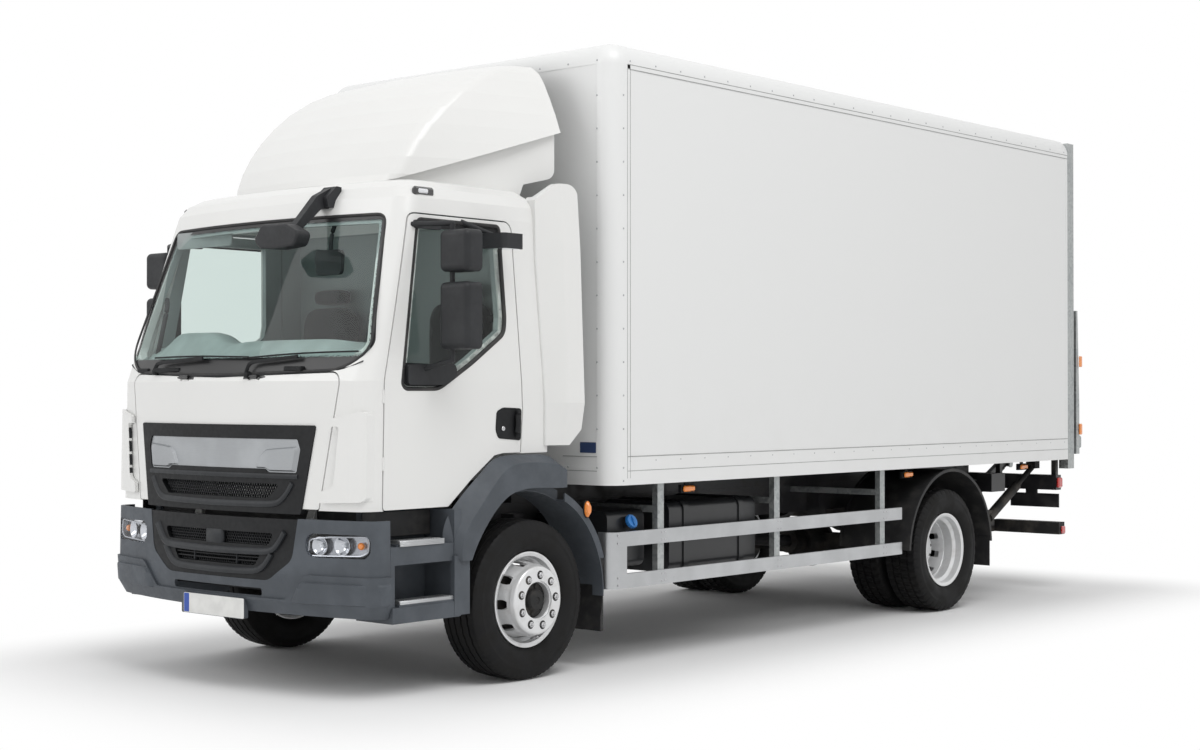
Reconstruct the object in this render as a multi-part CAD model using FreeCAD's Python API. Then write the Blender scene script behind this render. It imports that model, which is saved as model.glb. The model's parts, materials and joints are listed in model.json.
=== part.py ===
"""Two-axle cab-over box truck with a tail lift, as separate named pieces.

Millimetres. +Z up, the front faces -Y, +X is the vehicle's left.
Everything is drawn with y = 0 at the front axle and z = 0 at the ground.
On export it is moved along Y so that the origin is in the middle of the length.
"""
import FreeCAD, Part
import math
import os
from FreeCAD import Vector

# ---------------------------------------------------------------- driving sizes
FRONT_END = -1320.0         # foremost point, bumper face
WHEELBASE = 4400.0
TYRE_R = 447.5              # 285/70 on a 19.5 inch wheel
TYRE_W = 285.0
WIDEST_SHARE = 0.42         # of the section height, where the tyre is widest
RIM_LIP_R = 266.5
RIM_HALF_W = 117.0
FRONT_WHEEL_X = 1000.0      # centre plane of a front tyre
REAR_SIDE_GAP = 30.5        # outer rear tyre inside the box's width
TWIN_GAP = 30.0             # between the two tyres of a pair

RAIL_X = 415.0              # outer face of a chassis rail
RAIL_TOP = 930.0
RAIL_H = 200.0
RAIL_FLANGE = 65.0
RAIL_T = 7.0
RAIL_FRONT = -980.0

BOX_FRONT = 575.0
BOX_LENGTH = 5665.0         # corner posts to rear frame
BOX_HALF_W = 1250.0
BOX_BOTTOM = 1060.0
BOX_TOP = 3640.0
COVE_H = 130.0              # roof edge extrusion, above its seam with the side panel
BOX_CORNER_R = 125.0
BOX_WALL = 28.0
BOX_RAIL_H = 110.0          # bottom side rail
FLOOR_T = 30.0
BEARER_H = 50.0
REAR_FRAME_DEPTH = 105.0
REAR_FRAME_W = 80.0
REAR_FRAME_DROP = 75.0      # rear frame's feet below the box
SKIN_SET = 2.0              # panels inside the face of their edge extrusions

CAB_HALF_W = 1065.0
CAB_WALL = 60.0
CAB_FRONT_R = 4000.0        # plan radius of the cab front
CAB_CORNER_R = 120.0
CAB_FLOOR_Z = 985.0         # bottom of cab ahead of the wheel
CAB_TAIL_Z = 1261.0         # bottom of cab over the wheel
CAB_SEAM_Z = 2560.0         # roof panel seam
DOOR_GAP = 8.0
SKIN_T = 24.0               # front panel and corner panels
SKIN_GAP = 8.0              # between the hinged front panel and the cab behind it
TUNNEL_HALF_W = 360.0
TUNNEL_TOP = 1230.0

TILT_Y = -1090.0            # cab tilt pins
TILT_Z = 720.0
TILT_PIN_R = 20.0
PIN_GAP = 0.3
LID_AXIS_Y = -1278.0        # front panel hinge, just ahead of its top edge
LID_AXIS_Z = 1688.0
LID_STRIP_HALF_W = 880.0    # room behind the lid's upper edge
LID_STRIP_DEPTH = 20.0
LID_GAP = 4.0               # from the seam line, each side
LID_HINGE_X = 300.0
LID_PIN_R = 4.0
LID_EYE_R = 7.5
LID_EYE_HALF_W = 26.0
DOOR_PIN_X = CAB_HALF_W
DOOR_PIN_Y = -1043.0
DOOR_PIN_R = 3.0
DOOR_HINGE_R = 7.0
DOOR_HINGES_Z = (1230.0, 1580.0)
SEAT_GAP = 0.4              # between pieces that are bolted or rest together

STEP_X = 1115.0
FLARE_X = 1150.0
STEP_FRONT = -1035.0
STEP_REAR = -530.0
STEP_BOTTOM = 405.0
STEP_LOWER_Z = 500.0
STEP_UPPER_Z = 812.0
HOUSE_GAP = 152.5           # wheel housing clear of the tyre, for steering and springing

KINGPIN_X = 900.0
KINGPIN_R = 20.0

LIFT_ARM_X = 580.0
LIFT_ARM_T = 40.0
LIFT_ARM_R = 28.0           # half the depth of an arm
LIFT_LINK_DROP = 60.0       # tilt link below the arm, at both ends
LIFT_PLATE_T = 16.0
DECK_SET = 80.0             # load face of the platform, measured from its hinge
PLATFORM_T = 54.0
PLATFORM_TIP_T = 24.0
DECK_BOTTOM_Z = 1100.0
DECK_TOP_Z = 2262.0
PIN_R = 12.0
SLOT_GAP = 8.0              # each side of an arm where it passes a bar

# places that follow from the sizes above
TWIN_SPACING = TYRE_W + TWIN_GAP
REAR_OUTER_X = BOX_HALF_W - REAR_SIDE_GAP - TYRE_W / 2      # centre plane of an outer rear tyre
AXLE_Z = TYRE_R
HOUSE_R = TYRE_R + HOUSE_GAP                               # about the wheel centre
BOX_REAR = BOX_FRONT + BOX_LENGTH
BOX_COVE_Z = BOX_TOP - COVE_H
FLOOR_TOP = BOX_BOTTOM + BEARER_H + FLOOR_T
REAR_FACE = BOX_REAR + REAR_FRAME_DEPTH
REAR_FRAME_FOOT_Z = BOX_BOTTOM - REAR_FRAME_DROP
RAIL_REAR = BOX_REAR - 120
ENGINE_HALF_W = RAIL_X - RAIL_FLANGE - 50
LIFT_PIVOT = (BOX_REAR - 700, 620.0)
LIFT_HEEL = (REAR_FACE + 123, 1060.0)
ROLLER_REAR = REAR_FACE + 170                               # rearmost point
UNDERRUN_ROWS = (BOX_REAR - 60, BOX_REAR + 35, 455.0, 553.0)    # under-run bar: y, y, z, z
LAMP_BAR_ROWS = (BOX_REAR - 110, BOX_REAR - 25, 815.0, 935.0)
BAR_HALF_W = BOX_HALF_W - 50
REAR_END = ROLLER_REAR
ROW_SHIFT_Y = -(FRONT_END + REAR_END) / 2

NODES = {}


# ---------------------------------------------------------------- helpers
def keep(name, *shapes):
    """Store one node, moved so that the middle of the length is y = 0."""
    shape = shapes[0] if len(shapes) == 1 else Part.makeCompound(list(shapes))
    shape = shape.copy()
    shape.translate(Vector(0, ROW_SHIFT_Y, 0))
    NODES[name] = shape


def box(x0, x1, y0, y1, z0, z1):
    return Part.makeBox(x1 - x0, y1 - y0, z1 - z0, Vector(x0, y0, z0))


def rod(start, end, radius):
    """Round bar between two points."""
    a = Vector(*start)
    b = Vector(*end)
    return Part.makeCylinder(radius, (b - a).Length, a, b - a)


def ring(start, end, radius, bore):
    return rod(start, end, radius).cut(rod(start, end, bore))


def rounded_wire(rows, place):
    """Closed wire from rows (u, v, corner radius); place(u, v) gives the 3-D point."""
    count = len(rows)
    ends = []
    for i in range(count):
        u, v, r = rows[i]
        here = Vector(u, v, 0)
        back = Vector(rows[i - 1][0], rows[i - 1][1], 0) - here
        ahead = Vector(rows[(i + 1) % count][0], rows[(i + 1) % count][1], 0) - here
        back.normalize()
        ahead.normalize()
        if r <= 0:
            ends.append((here, None, here))
            continue
        half = back.getAngle(ahead) / 2
        run = r / math.tan(half)
        middle = back + ahead
        middle.normalize()
        centre = here + middle * (r / math.sin(half))
        crown = centre - middle * r
        ends.append((here + back * run, crown, here + ahead * run))
    edges = []
    for i in range(count):
        start, crown, stop = ends[i]
        if crown is not None:
            edges.append(Part.Arc(place(start), place(crown), place(stop)).toShape())
        leave = ends[(i + 1) % count][0]
        if (leave - stop).Length > 1e-6:
            edges.append(Part.LineSegment(place(stop), place(leave)).toShape())
    return Part.Wire(edges)


def along_x(rows, x0, x1):
    """Solid from rows (y, z, corner radius), extruded from x0 to x1."""
    wire = rounded_wire(rows, lambda p: Vector(x0, p.x, p.y))
    return Part.Face(wire).extrude(Vector(x1 - x0, 0, 0))


def along_y(rows, y0, y1):
    """Solid from rows (x, z, corner radius), extruded from y0 to y1."""
    wire = rounded_wire(rows, lambda p: Vector(p.x, y0, p.y))
    return Part.Face(wire).extrude(Vector(0, y1 - y0, 0))


def along_z(rows, z0, z1):
    """Solid from rows (x, y, corner radius), extruded from z0 to z1."""
    wire = rounded_wire(rows, lambda p: Vector(p.x, p.y, z0))
    return Part.Face(wire).extrude(Vector(0, 0, z1 - z0))


def spun(rows, x_centre, y_centre, z_centre):
    """Solid of revolution about X from rows (x offset, radius, corner radius)."""
    wire = rounded_wire(rows, lambda p: Vector(x_centre + p.x, y_centre, z_centre + p.y))
    return Part.Face(wire).revolve(Vector(x_centre, y_centre, z_centre), Vector(1, 0, 0), 360)


def other_side(shape):
    return shape.mirror(Vector(0, 0, 0), Vector(1, 0, 0))


def both_sides(shape):
    return [shape, other_side(shape)]


def join(shapes):
    return shapes[0].multiFuse(shapes[1:]).removeSplitter()


def grown(rows, amount):
    """Rows of a closed outline moved outwards by amount (inwards when negative)."""
    count = len(rows)
    area = sum(rows[i - 1][0] * rows[i][1] - rows[i][0] * rows[i - 1][1] for i in range(count))
    turn = 1 if area > 0 else -1
    moved = []
    for i in range(count):
        u, v, r = rows[i]
        du0, dv0 = u - rows[i - 1][0], v - rows[i - 1][1]
        du1, dv1 = rows[(i + 1) % count][0] - u, rows[(i + 1) % count][1] - v
        n0 = Vector(dv0, -du0, 0) * turn
        n1 = Vector(dv1, -du1, 0) * turn
        n0.normalize()
        n1.normalize()
        step = (n0 + n1) * (amount / (1 + n0.dot(n1)))
        moved.append((u + step.x, v + step.y, max(r + (amount if r > 0 else 0), 0)))
    return moved


def mirrored(rows):
    """Half an outline, from its top to its bottom on +u, completed on -u."""
    return rows + [(-u, v, r) for u, v, r in reversed(rows) if u > 0]


# ---------------------------------------------------------------- cab form
# height, front at the centre line, half width, rear
CAB_ROWS = [
    (900.0, -1302.0, CAB_HALF_W, 205.0),
    (1660.0, -1288.0, CAB_HALF_W, 222.0),
    (CAB_SEAM_Z, -975.0, CAB_HALF_W - 45, 165.0),
]
ROOF_ROWS = [
    (CAB_SEAM_Z, -975.0, CAB_HALF_W - 45, 165.0),
    (2640.0, -948.0, CAB_HALF_W - 56, 152.0),
    (2700.0, -900.0, CAB_HALF_W - 92, 128.0),
    (2740.0, -825.0, CAB_HALF_W - 150, 95.0),
    (2756.0, -735.0, CAB_HALF_W - 225, 55.0),
]
# side view of the cab's underside, front to rear: y, z
CAB_UNDER_Z = 1040.0
CAB_SILL = [(-501.0, CAB_UNDER_Z), (-385.0, 1133.0), (-215.0, 1250.0), (-150.0, CAB_TAIL_Z)]


def plan_wire(z, front, half, rear, inset, front_r=CAB_FRONT_R, corner_r=CAB_CORNER_R):
    """Plan outline at height z: big front arc, two corner arcs, straight sides and rear."""
    front += inset
    half -= inset
    rear -= inset
    front_r -= inset
    corner_r -= inset
    centre_y = front + front_r
    reach = front_r - corner_r
    cx = half - corner_r
    cy = centre_y - math.sqrt(reach ** 2 - cx ** 2)
    scale = front_r / reach
    jx = cx * scale
    jy = centre_y + (cy - centre_y) * scale
    bend = Vector(cx, cy - centre_y, 0)
    bend.normalize()
    bend = bend + Vector(1, 0, 0)
    bend.normalize()
    crown = Vector(cx, cy, z) + bend * corner_r
    left = Part.Arc(Vector(jx, jy, z), crown, Vector(half, cy, z)).toShape()
    side = Part.LineSegment(Vector(half, cy, z), Vector(half, rear, z)).toShape()
    back = Part.LineSegment(Vector(half, rear, z), Vector(-half, rear, z)).toShape()
    far = Part.LineSegment(Vector(-half, rear, z), Vector(-half, cy, z)).toShape()
    right = Part.Arc(Vector(-half, cy, z), Vector(-crown.x, crown.y, z), Vector(-jx, jy, z)).toShape()
    nose = Part.Arc(Vector(-jx, jy, z), Vector(0, front, z), Vector(jx, jy, z)).toShape()
    return Part.Wire([left, side, back, far, right, nose])


def form(rows, inset, **radii):
    return Part.makeLoft([plan_wire(z, f, h, r, inset, **radii) for z, f, h, r in rows], True, True)


def cab_form(inset):
    return form(CAB_ROWS, inset)


def cab_underside(drop):
    """Everything under the cab's floor line, lowered by -drop (raised when positive)."""
    rows = [(-1600.0, 800.0, 0), (-1600.0, CAB_UNDER_Z + drop, 0)]
    rows += [(y, z + drop, 0) for y, z in CAB_SILL]
    rows += [(400.0, CAB_TAIL_Z + drop, 0), (400.0, 800.0, 0)]
    return along_x(rows, -1300, 1300)


# side view of the door: y, z, radius
DOOR_ROWS = [
    (-1047.0, CAB_FLOOR_Z, 20), (-1047.0, 1030.0, 0), (-1035.0, 1660.0, 200), (-813.0, 2551.0, 45),
    (-42.0, 2551.0, 60), (10.0, 1500.0, 0), (-8.0, CAB_TAIL_Z, 10), (-150.0, CAB_TAIL_Z, 0),
    (-215.0, 1250.0, 0), (-385.0, 1133.0, 0), (-570.0, CAB_FLOOR_Z, 20),
]
WINDOW_ROWS = [
    (-905.0, 1648.0, 0), (-880.0, 1622.0, 0), (-640.0, 1622.0, 40), (-385.0, 1762.0, 0),
        (-128.0, 1925.0, 40),
    (-116.0, 2010.0, 0), (-140.0, 2516.0, 30), (-757.0, 2516.0, 30),
]
# half of the windscreen from the front: x, z, radius
SCREEN_ROWS = mirrored([(0.0, 2548.0, 0), (905.0, 2542.0, 60), (1034.0, 1822.0, 95), (885.0, 1716.0, 160),
                        (0.0, 1694.0, 0)])
SCREEN_IN = 6.0
SCREEN_T = 8.0
# half of the front panel, of the grille outline and of the silver panel: x, z, radius
SEAM_TOP_X = 900.0
SEAM_BOTTOM_X = 774.0
PANEL_ROWS = mirrored([(0.0, 1684.0, 0), (SEAM_TOP_X, 1708.0, 60), (SEAM_BOTTOM_X, CAB_FLOOR_Z + 2, 15)])
GRILLE_ROWS = mirrored([(751.0, 1428.0, 12), (662.0, CAB_FLOOR_Z - 23, 10)])
BADGE_ROWS = mirrored([(632.0, 1354.0, 14), (652.0, 1300.0, 10), (628.0, 1178.0, 14), (430.0, 1178.0, 30),
                       (405.0, 1196.0, 30)])
CORNER_TOP_Z = 1800.0
# raised air vane of a corner panel, and its open front: x, z, radius
VANE_RISE = 26.0
VANE_ROWS = [(872.0, 1466.0, 8), (1058.0, 1508.0, 25), (1058.0, 1036.0, 30), (800.0, 1026.0, 8)]
VANE_INLET_ROWS = [(800.0, 1422.0, 0), (914.0, 1424.0, 14), (884.0, 1112.0, 50), (740.0, 1062.0, 0)]


def cab_shell():
    outer = cab_form(0).cut(cab_underside(0))
    outer = outer.cut(box(-TUNNEL_HALF_W, TUNNEL_HALF_W, -1000, 400, 800, TUNNEL_TOP))
    inner = cab_form(CAB_WALL).cut(cab_underside(CAB_WALL))
    inner = inner.cut(box(-TUNNEL_HALF_W - CAB_WALL, TUNNEL_HALF_W + CAB_WALL, -1000 - CAB_WALL, 400,
                          800, TUNNEL_TOP + CAB_WALL))
    return outer.cut(inner)


def front_skin_zone(depth):
    """Space taken by the front panel and the corner panels, ahead of the door line."""
    zone = box(-1200, 1200, -1500, -1000, CAB_FLOOR_Z, CORNER_TOP_Z)
    zone = zone.cut(along_x(grown(DOOR_ROWS, DOOR_GAP / 2), -1250, 1250))
    zone = zone.cut(along_y(grown(SCREEN_ROWS, 4), -1500, -900))
    cowl = mirrored([(SEAM_TOP_X, CORNER_TOP_Z + 10, 0), (SEAM_TOP_X, PANEL_ROWS[1][1] + LID_GAP, 0),
                     (0.0, PANEL_ROWS[0][1] + LID_GAP, 0)])
    zone = zone.cut(along_y(cowl, -1500, -900))
    return cab_form(0).cut(cab_form(depth)).common(zone)


def screen_space(rows, outer, inner):
    return cab_form(outer).cut(cab_form(inner)).common(along_y(rows, -1500, -600))


def door_leaf(side):
    """Door as thick as the cab wall, with a rebate for its glass."""
    shell = cab_form(0).cut(cab_form(CAB_WALL))
    leaf = shell.common(along_x(grown(DOOR_ROWS, -DOOR_GAP / 2), 700, 1200))
    leaf = leaf.cut(along_x(grown(WINDOW_ROWS, -28), 600, 1300))
    rebate = cab_form(0).cut(cab_form(SCREEN_IN + SCREEN_T)).common(along_x(WINDOW_ROWS, 700, 1300))
    leaf = leaf.cut(rebate)
    for z in DOOR_HINGES_Z:
        room = rod((DOOR_PIN_X, DOOR_PIN_Y, z - 37), (DOOR_PIN_X, DOOR_PIN_Y, z + 37), DOOR_HINGE_R + 1)
        leaf = leaf.cut(room).fuse(door_hinge_eye(z))
    return leaf if side > 0 else other_side(leaf)


def door_hinge_eye(z):
    """Barrel of a door hinge with its tongue into the door's front edge."""
    barrel = rod((DOOR_PIN_X, DOOR_PIN_Y, z - 15), (DOOR_PIN_X, DOOR_PIN_Y, z + 15), DOOR_HINGE_R)
    tongue = box(DOOR_PIN_X - 20, DOOR_PIN_X, DOOR_PIN_Y, DOOR_PIN_Y + 25, z - 15, z + 15)
    bore = rod((DOOR_PIN_X, DOOR_PIN_Y, z - 20), (DOOR_PIN_X, DOOR_PIN_Y, z + 20), DOOR_PIN_R + PIN_GAP)
    return barrel.fuse(tongue).cut(bore)


def door_hinge_pin(panel, z):
    """Corner panel with the pin and the two outer knuckles of a door hinge."""
    x, y, r = DOOR_PIN_X, DOOR_PIN_Y, DOOR_HINGE_R
    panel = panel.cut(rod((x, y, z - 15 - PIN_GAP), (x, y, z + 15 + PIN_GAP), r + PIN_GAP))
    panel = panel.cut(box(x - 20 - PIN_GAP, x + 20, y, y + 30, z - 15 - PIN_GAP, z + 15 + PIN_GAP))
    knuckles = [rod((x, y, z - 35), (x, y, z - 15 - PIN_GAP), r),
                rod((x, y, z + 15 + PIN_GAP), (x, y, z + 35), r)]
    return join([panel, rod((x, y, z - 35), (x, y, z + 35), DOOR_PIN_R)] + knuckles)


def door_glass(side):
    pane = cab_form(SCREEN_IN).cut(cab_form(SCREEN_IN + SCREEN_T))
    pane = pane.common(along_x(grown(WINDOW_ROWS, -0.3), 700, 1300))
    return pane if side > 0 else other_side(pane)


def lid_bracket():
    """Fork and pin that carry one hinge of the front panel."""
    y, z, reach = LID_AXIS_Y, LID_AXIS_Z, LID_EYE_HALF_W + SEAT_GAP
    pieces = [rod((LID_HINGE_X - reach - 9, y, z), (LID_HINGE_X + reach + 9, y, z), LID_PIN_R)]
    for x in (LID_HINGE_X - reach - 10, LID_HINGE_X + reach):
        pieces.append(rod((x, y, z), (x + 10, y, z), LID_EYE_R))
        pieces.append(box(x, x + 10, y, y + 70, z - 6, z + 6))
    return join(pieces)


def cab_body():
    shell = cab_shell()
    wall = cab_form(-1).cut(cab_form(CAB_WALL + 6))
    opening = wall.common(along_x(grown(DOOR_ROWS, DOOR_GAP / 2), 700, 1200))
    for way in both_sides(opening):
        shell = shell.cut(way)
    shell = shell.cut(front_skin_zone(SKIN_T))
    behind_lid = along_y(grown(PANEL_ROWS, 2 * LID_GAP), -1500, -900)
    shell = shell.cut(front_skin_zone(SKIN_T + SKIN_GAP).common(behind_lid))
    # the lid's upper edge swings inwards as it opens
    strip = box(-LID_STRIP_HALF_W, LID_STRIP_HALF_W, -1500, -900, LID_AXIS_Z - 60, LID_AXIS_Z + 40)
    shell = shell.cut(front_skin_zone(SKIN_T + LID_STRIP_DEPTH).common(strip).common(behind_lid))
    shell = shell.cut(screen_space(SCREEN_ROWS, 0, SCREEN_IN + SCREEN_T + PIN_GAP))
    shell = shell.cut(along_y(grown(SCREEN_ROWS, -45), -1500, -600))
    lug = along_x([(TILT_Y - 34, TILT_Z - 34, 30), (TILT_Y + 34, TILT_Z - 34, 30),
                   (TILT_Y + 175, CAB_UNDER_Z + 20, 0), (TILT_Y + 100, CAB_UNDER_Z + 20, 0)],
                  RAIL_X + 40, RAIL_X + 100)
    lug = lug.cut(rod((RAIL_X, TILT_Y, TILT_Z), (RAIL_X + 200, TILT_Y, TILT_Z), TILT_PIN_R + PIN_GAP))
    for piece in both_sides(lug) + both_sides(lid_bracket()):
        shell = shell.fuse(piece)
    return shell


def cab_roof():
    outer = form(ROOF_ROWS, 0)
    inner = form([(z - 40 if z > CAB_SEAM_Z else z, f, h, r) for z, f, h, r in ROOF_ROWS], 40)
    return outer.cut(inner)


def front_panel():
    """Hinged lid; two eyes at its top edge turn on the cab's hinge pins."""
    panel = front_skin_zone(SKIN_T).common(along_y(grown(PANEL_ROWS, -LID_GAP), -1500, -900))
    panel = panel.cut(along_y(GRILLE_ROWS, -1500, -900))
    y, z = LID_AXIS_Y, LID_AXIS_Z
    for x in (-LID_HINGE_X, LID_HINGE_X):
        room = LID_EYE_HALF_W + 18
        panel = panel.cut(box(x - room, x + room, y - 30, y + 80, z - 22, z + 40))
        eye = rod((x - LID_EYE_HALF_W, y, z), (x + LID_EYE_HALF_W, y, z), LID_EYE_R)
        tongue = [(y - 6, z, 0), (y + SKIN_T + 2, z, 0), (y + SKIN_T + 2, z - 34, 0), (y + 12, z - 34, 0)]
        eye = eye.fuse(along_x(tongue, x - LID_EYE_HALF_W, x + LID_EYE_HALF_W))
        panel = panel.fuse(eye.cut(rod((x - 60, y, z), (x + 60, y, z), LID_PIN_R + PIN_GAP)))
    return panel


def corner_panels():
    zone = front_skin_zone(SKIN_T - SEAT_GAP).cut(along_y(grown(PANEL_ROWS, LID_GAP), -1500, -900))
    zone = zone.cut(screen_space(SCREEN_ROWS, 0, 200))
    zone = zone.cut(along_y(SCREEN_ROWS, -1500, -600))
    # below the windscreen only, and the raised air vane with its open front
    vane = cab_form(-VANE_RISE).cut(cab_form(-4)).common(along_y(VANE_ROWS, -1500, -1060))
    vane = vane.cut(along_y(VANE_INLET_ROWS, -1500, -1060))
    panels = zone.Solids
    out = []
    for solid in panels:
        if solid.CenterOfMass.x > 0 and solid.Volume > 1e5:
            flank = along_y([(1030.0, 1495.0, 0), (1058.0, 1500.0, 0), (1058.0, 1040.0, 0),
                             (1030.0, 1040.0, 0)],
                            -1500, -1060)
            root = cab_form(-4).cut(cab_form(0)).common(flank)
            panel = solid.fuse(vane).fuse(root)
            for z in DOOR_HINGES_Z:
                panel = door_hinge_pin(panel, z)
            out.append(panel)
    return out + [other_side(s) for s in out]


def grille():
    plate = cab_form(-8).cut(cab_form(SKIN_T)).common(along_y(grown(GRILLE_ROWS, -SEAT_GAP), -1500, -900))
    plate = plate.cut(along_y(grown(BADGE_ROWS, 1), -1600,
                              -1150).common(cab_form(-9).cut(cab_form(14 + SEAT_GAP))))
    mesh = mirrored([(520.0, 1118.0, 10), (430.0, 1040.0, 25)])
    return plate.cut(along_y(mesh, -1600, -900))


def grille_badge():
    return cab_form(-2).cut(cab_form(14)).common(along_y(BADGE_ROWS, -1600, -1100))


# ---------------------------------------------------------------- cab furniture
def windscreen():
    return screen_space(grown(SCREEN_ROWS, -0.3), SCREEN_IN, SCREEN_IN + SCREEN_T)


DEFLECTOR_REAR = 395.0
DEFLECTOR_T = 22.0
DEFLECTOR_FOOT_Z = 2762.0
# height, front at the centre line, half width at the front corners, outward slope of the sides
DEFLECTOR_ROWS = [
    (2700.0, -745.0, 650.0, 0.48), (2800.0, -715.0, 690.0, 0.43), (2900.0, -668.0, 710.0, 0.39),
    (3000.0, -604.0, 720.0, 0.36), (3100.0, -523.0, 728.0, 0.34), (3200.0, -420.0, 733.0, 0.33),
    (3300.0, -295.0, 736.0, 0.32), (3400.0, -125.0, 738.0, 0.33), (3460.0, 15.0, 738.0, 0.35),
    (3505.0, 165.0, 720.0, 0.40), (3532.0, 280.0, 560.0, 0.60), (3548.0, 372.0, 200.0, 1.00),
]
DEFLECTOR_NOSE_R = 2500.0
DEFLECTOR_CORNER_R = 90.0
# lower edge of its side: y, z at the front corner and at the rear
DEFLECTOR_EDGE = [(-640.0, DEFLECTOR_FOOT_Z), (DEFLECTOR_REAR + 5, 3102.0)]


def deflector_form(inset):
    """Plan sections: a bowed front between two corners, and sides that spread to the rear."""
    end = DEFLECTOR_REAR + 505
    wires = []
    for z, front, half, slope in DEFLECTOR_ROWS:
        side = front + half * half / (2 * DEFLECTOR_NOSE_R)
        rows = [(0.0, front, DEFLECTOR_NOSE_R), (half, side, DEFLECTOR_CORNER_R),
                (half + slope * (end - side), end, 0), (-half - slope * (end - side), end, 0),
                (-half, side, DEFLECTOR_CORNER_R)]
        wires.append(rounded_wire(grown(rows, -inset), lambda p, z=z: Vector(p.x, p.y, z - inset)))
    return Part.makeLoft(wires, True, True)


def roof_deflector():
    """Hollow shell with a raking lower edge; a set-in skirt closes each side down to the roof."""
    shell = deflector_form(0).cut(deflector_form(DEFLECTOR_T))
    (y0, z0), (y1, z1) = DEFLECTOR_EDGE
    under = along_x([(-1400, 2500, 0), (-1400, z0, 0), (y0, z0, 0), (y1, z1, 0), (y1, 2500, 0)], -1600,
                    1600)
    shell = shell.common(box(-1200, 1200, -1300, DEFLECTOR_REAR, 2600, 3600)).cut(under)
    plate = along_z([(652.0, -600.0, 0), (968.0, 380.0, 0), (954.0, 384.0, 0), (638.0, -596.0, 0)],
                    2690, 3200)
    side = along_x([(-650, 2690, 0), (150, 2690, 0), (185, 2790, 0), (380, 2840, 60), (380, 3250, 0),
                    (-650, 3250, 0)], 600, 1000)
    skirt = plate.common(side).common(deflector_form(4)).cut(form(ROOF_ROWS, -SEAT_GAP))
    return join([shell] + both_sides(skirt))


# rear edge of the side extender: x, z
EXTENDER_ROWS = [(1150.0, 1300.0), (1190.0, 1540.0), (1156.0, 2420.0), (1128.0, 2800.0)]
EXTENDER_LAP = 38.0         # over the cab's side, ahead of its rear corner
EXTENDER_T = 26.0


def side_extender():
    """Vertical fairing that laps the cab's rear corner and flares out to the width of the box."""
    wires = []
    for x, z in EXTENDER_ROWS:
        cab_x = CAB_HALF_W - 45 * max(0.0, z - 1660) / (CAB_SEAM_Z - 1660)
        y = 222.0 - 57 * max(0.0, z - 1660) / (CAB_SEAM_Z - 1660) - EXTENDER_LAP
        rows = [(cab_x - 60, y, 0), (cab_x + 14, y, 12), (x - 30, DEFLECTOR_REAR - 110, 70),
                (x, DEFLECTOR_REAR, 0), (x - EXTENDER_T, DEFLECTOR_REAR, 0),
                (x - 30 - EXTENDER_T, DEFLECTOR_REAR - 80, 50),
                (cab_x - 20, y + 50, 0), (cab_x - 60, y + 50, 0)]
        wires.append(rounded_wire(rows, lambda p, z=z: Vector(p.x, p.y, z)))
    slab = Part.makeLoft(wires, True, True)
    rows = [(140.0, 2690.0, 0), (DEFLECTOR_REAR - 130, 2790.0, 40), (DEFLECTOR_REAR + 1, 2790.0, 70),
            (DEFLECTOR_REAR + 1, 1390.0, 30), (DEFLECTOR_REAR - 90, CAB_TAIL_Z + 6, 50),
            (140.0, CAB_TAIL_Z + 6, 0)]
    return slab.common(along_x(rows, 800, 1300)).cut(cab_form(-SEAT_GAP)).cut(form(ROOF_ROWS, -SEAT_GAP))


def dashboard():
    rows = [(-1160.0, 1300.0, 0), (-1160.0, 1610.0, 30), (-820.0, 1640.0, 60), (-720.0, 1560.0, 60),
            (-760.0, 1380.0, 40), (-900.0, 1300.0, 0)]
    return along_x(rows, -985, 985).common(cab_form(CAB_WALL + SEAT_GAP))


def seat(x):
    cushion = along_x([(-430, 1470, 30), (-430, 1590, 40), (40, 1560, 40), (40, 1450, 30)], x - 250,
                      x + 250)
    back = along_x([(-60, 1561, 30), (60, 1561, 30), (105, 2230, 40), (15, 2240, 50), (-45, 1700, 20)],
                   x - 240, x + 240)
    floor = CAB_TAIL_Z + CAB_WALL
    base = along_x([(-380, floor, 0), (-380, 1467.4, 0), (20, 1450.4, 0), (20, floor, 0)], x - 200,
                   x + 200)
    return [cushion.cut(back), back, base]


def steering_wheel():
    """Rim, spokes and column end, tilted on the column."""
    rim = Part.makeTorus(215, 15)
    hub = Part.makeCylinder(55, 40, Vector(0, 0, -30))
    spokes = [Part.makeBox(400, 30, 14, Vector(-200, -15, -12)),
              Part.makeBox(30, 200, 14, Vector(-15, -200, -12))]
    wheel = join([rim, hub] + spokes)
    return wheel


WHEEL_AT = Vector(-560, -640, 1760)
COLUMN_TILT = 30.0          # from the vertical, towards the driver


def placed_wheel():
    wheel = steering_wheel()
    wheel.rotate(Vector(0, 0, 0), Vector(1, 0, 0), -COLUMN_TILT)
    wheel.translate(WHEEL_AT)
    axis = Vector(0, math.sin(math.radians(COLUMN_TILT)), math.cos(math.radians(COLUMN_TILT)))
    start = WHEEL_AT - axis * (30 + PIN_GAP)
    end = WHEEL_AT - axis * 260
    column = Part.makeCylinder(32, (end - start).Length, start, end - start)
    return wheel, column


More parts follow.
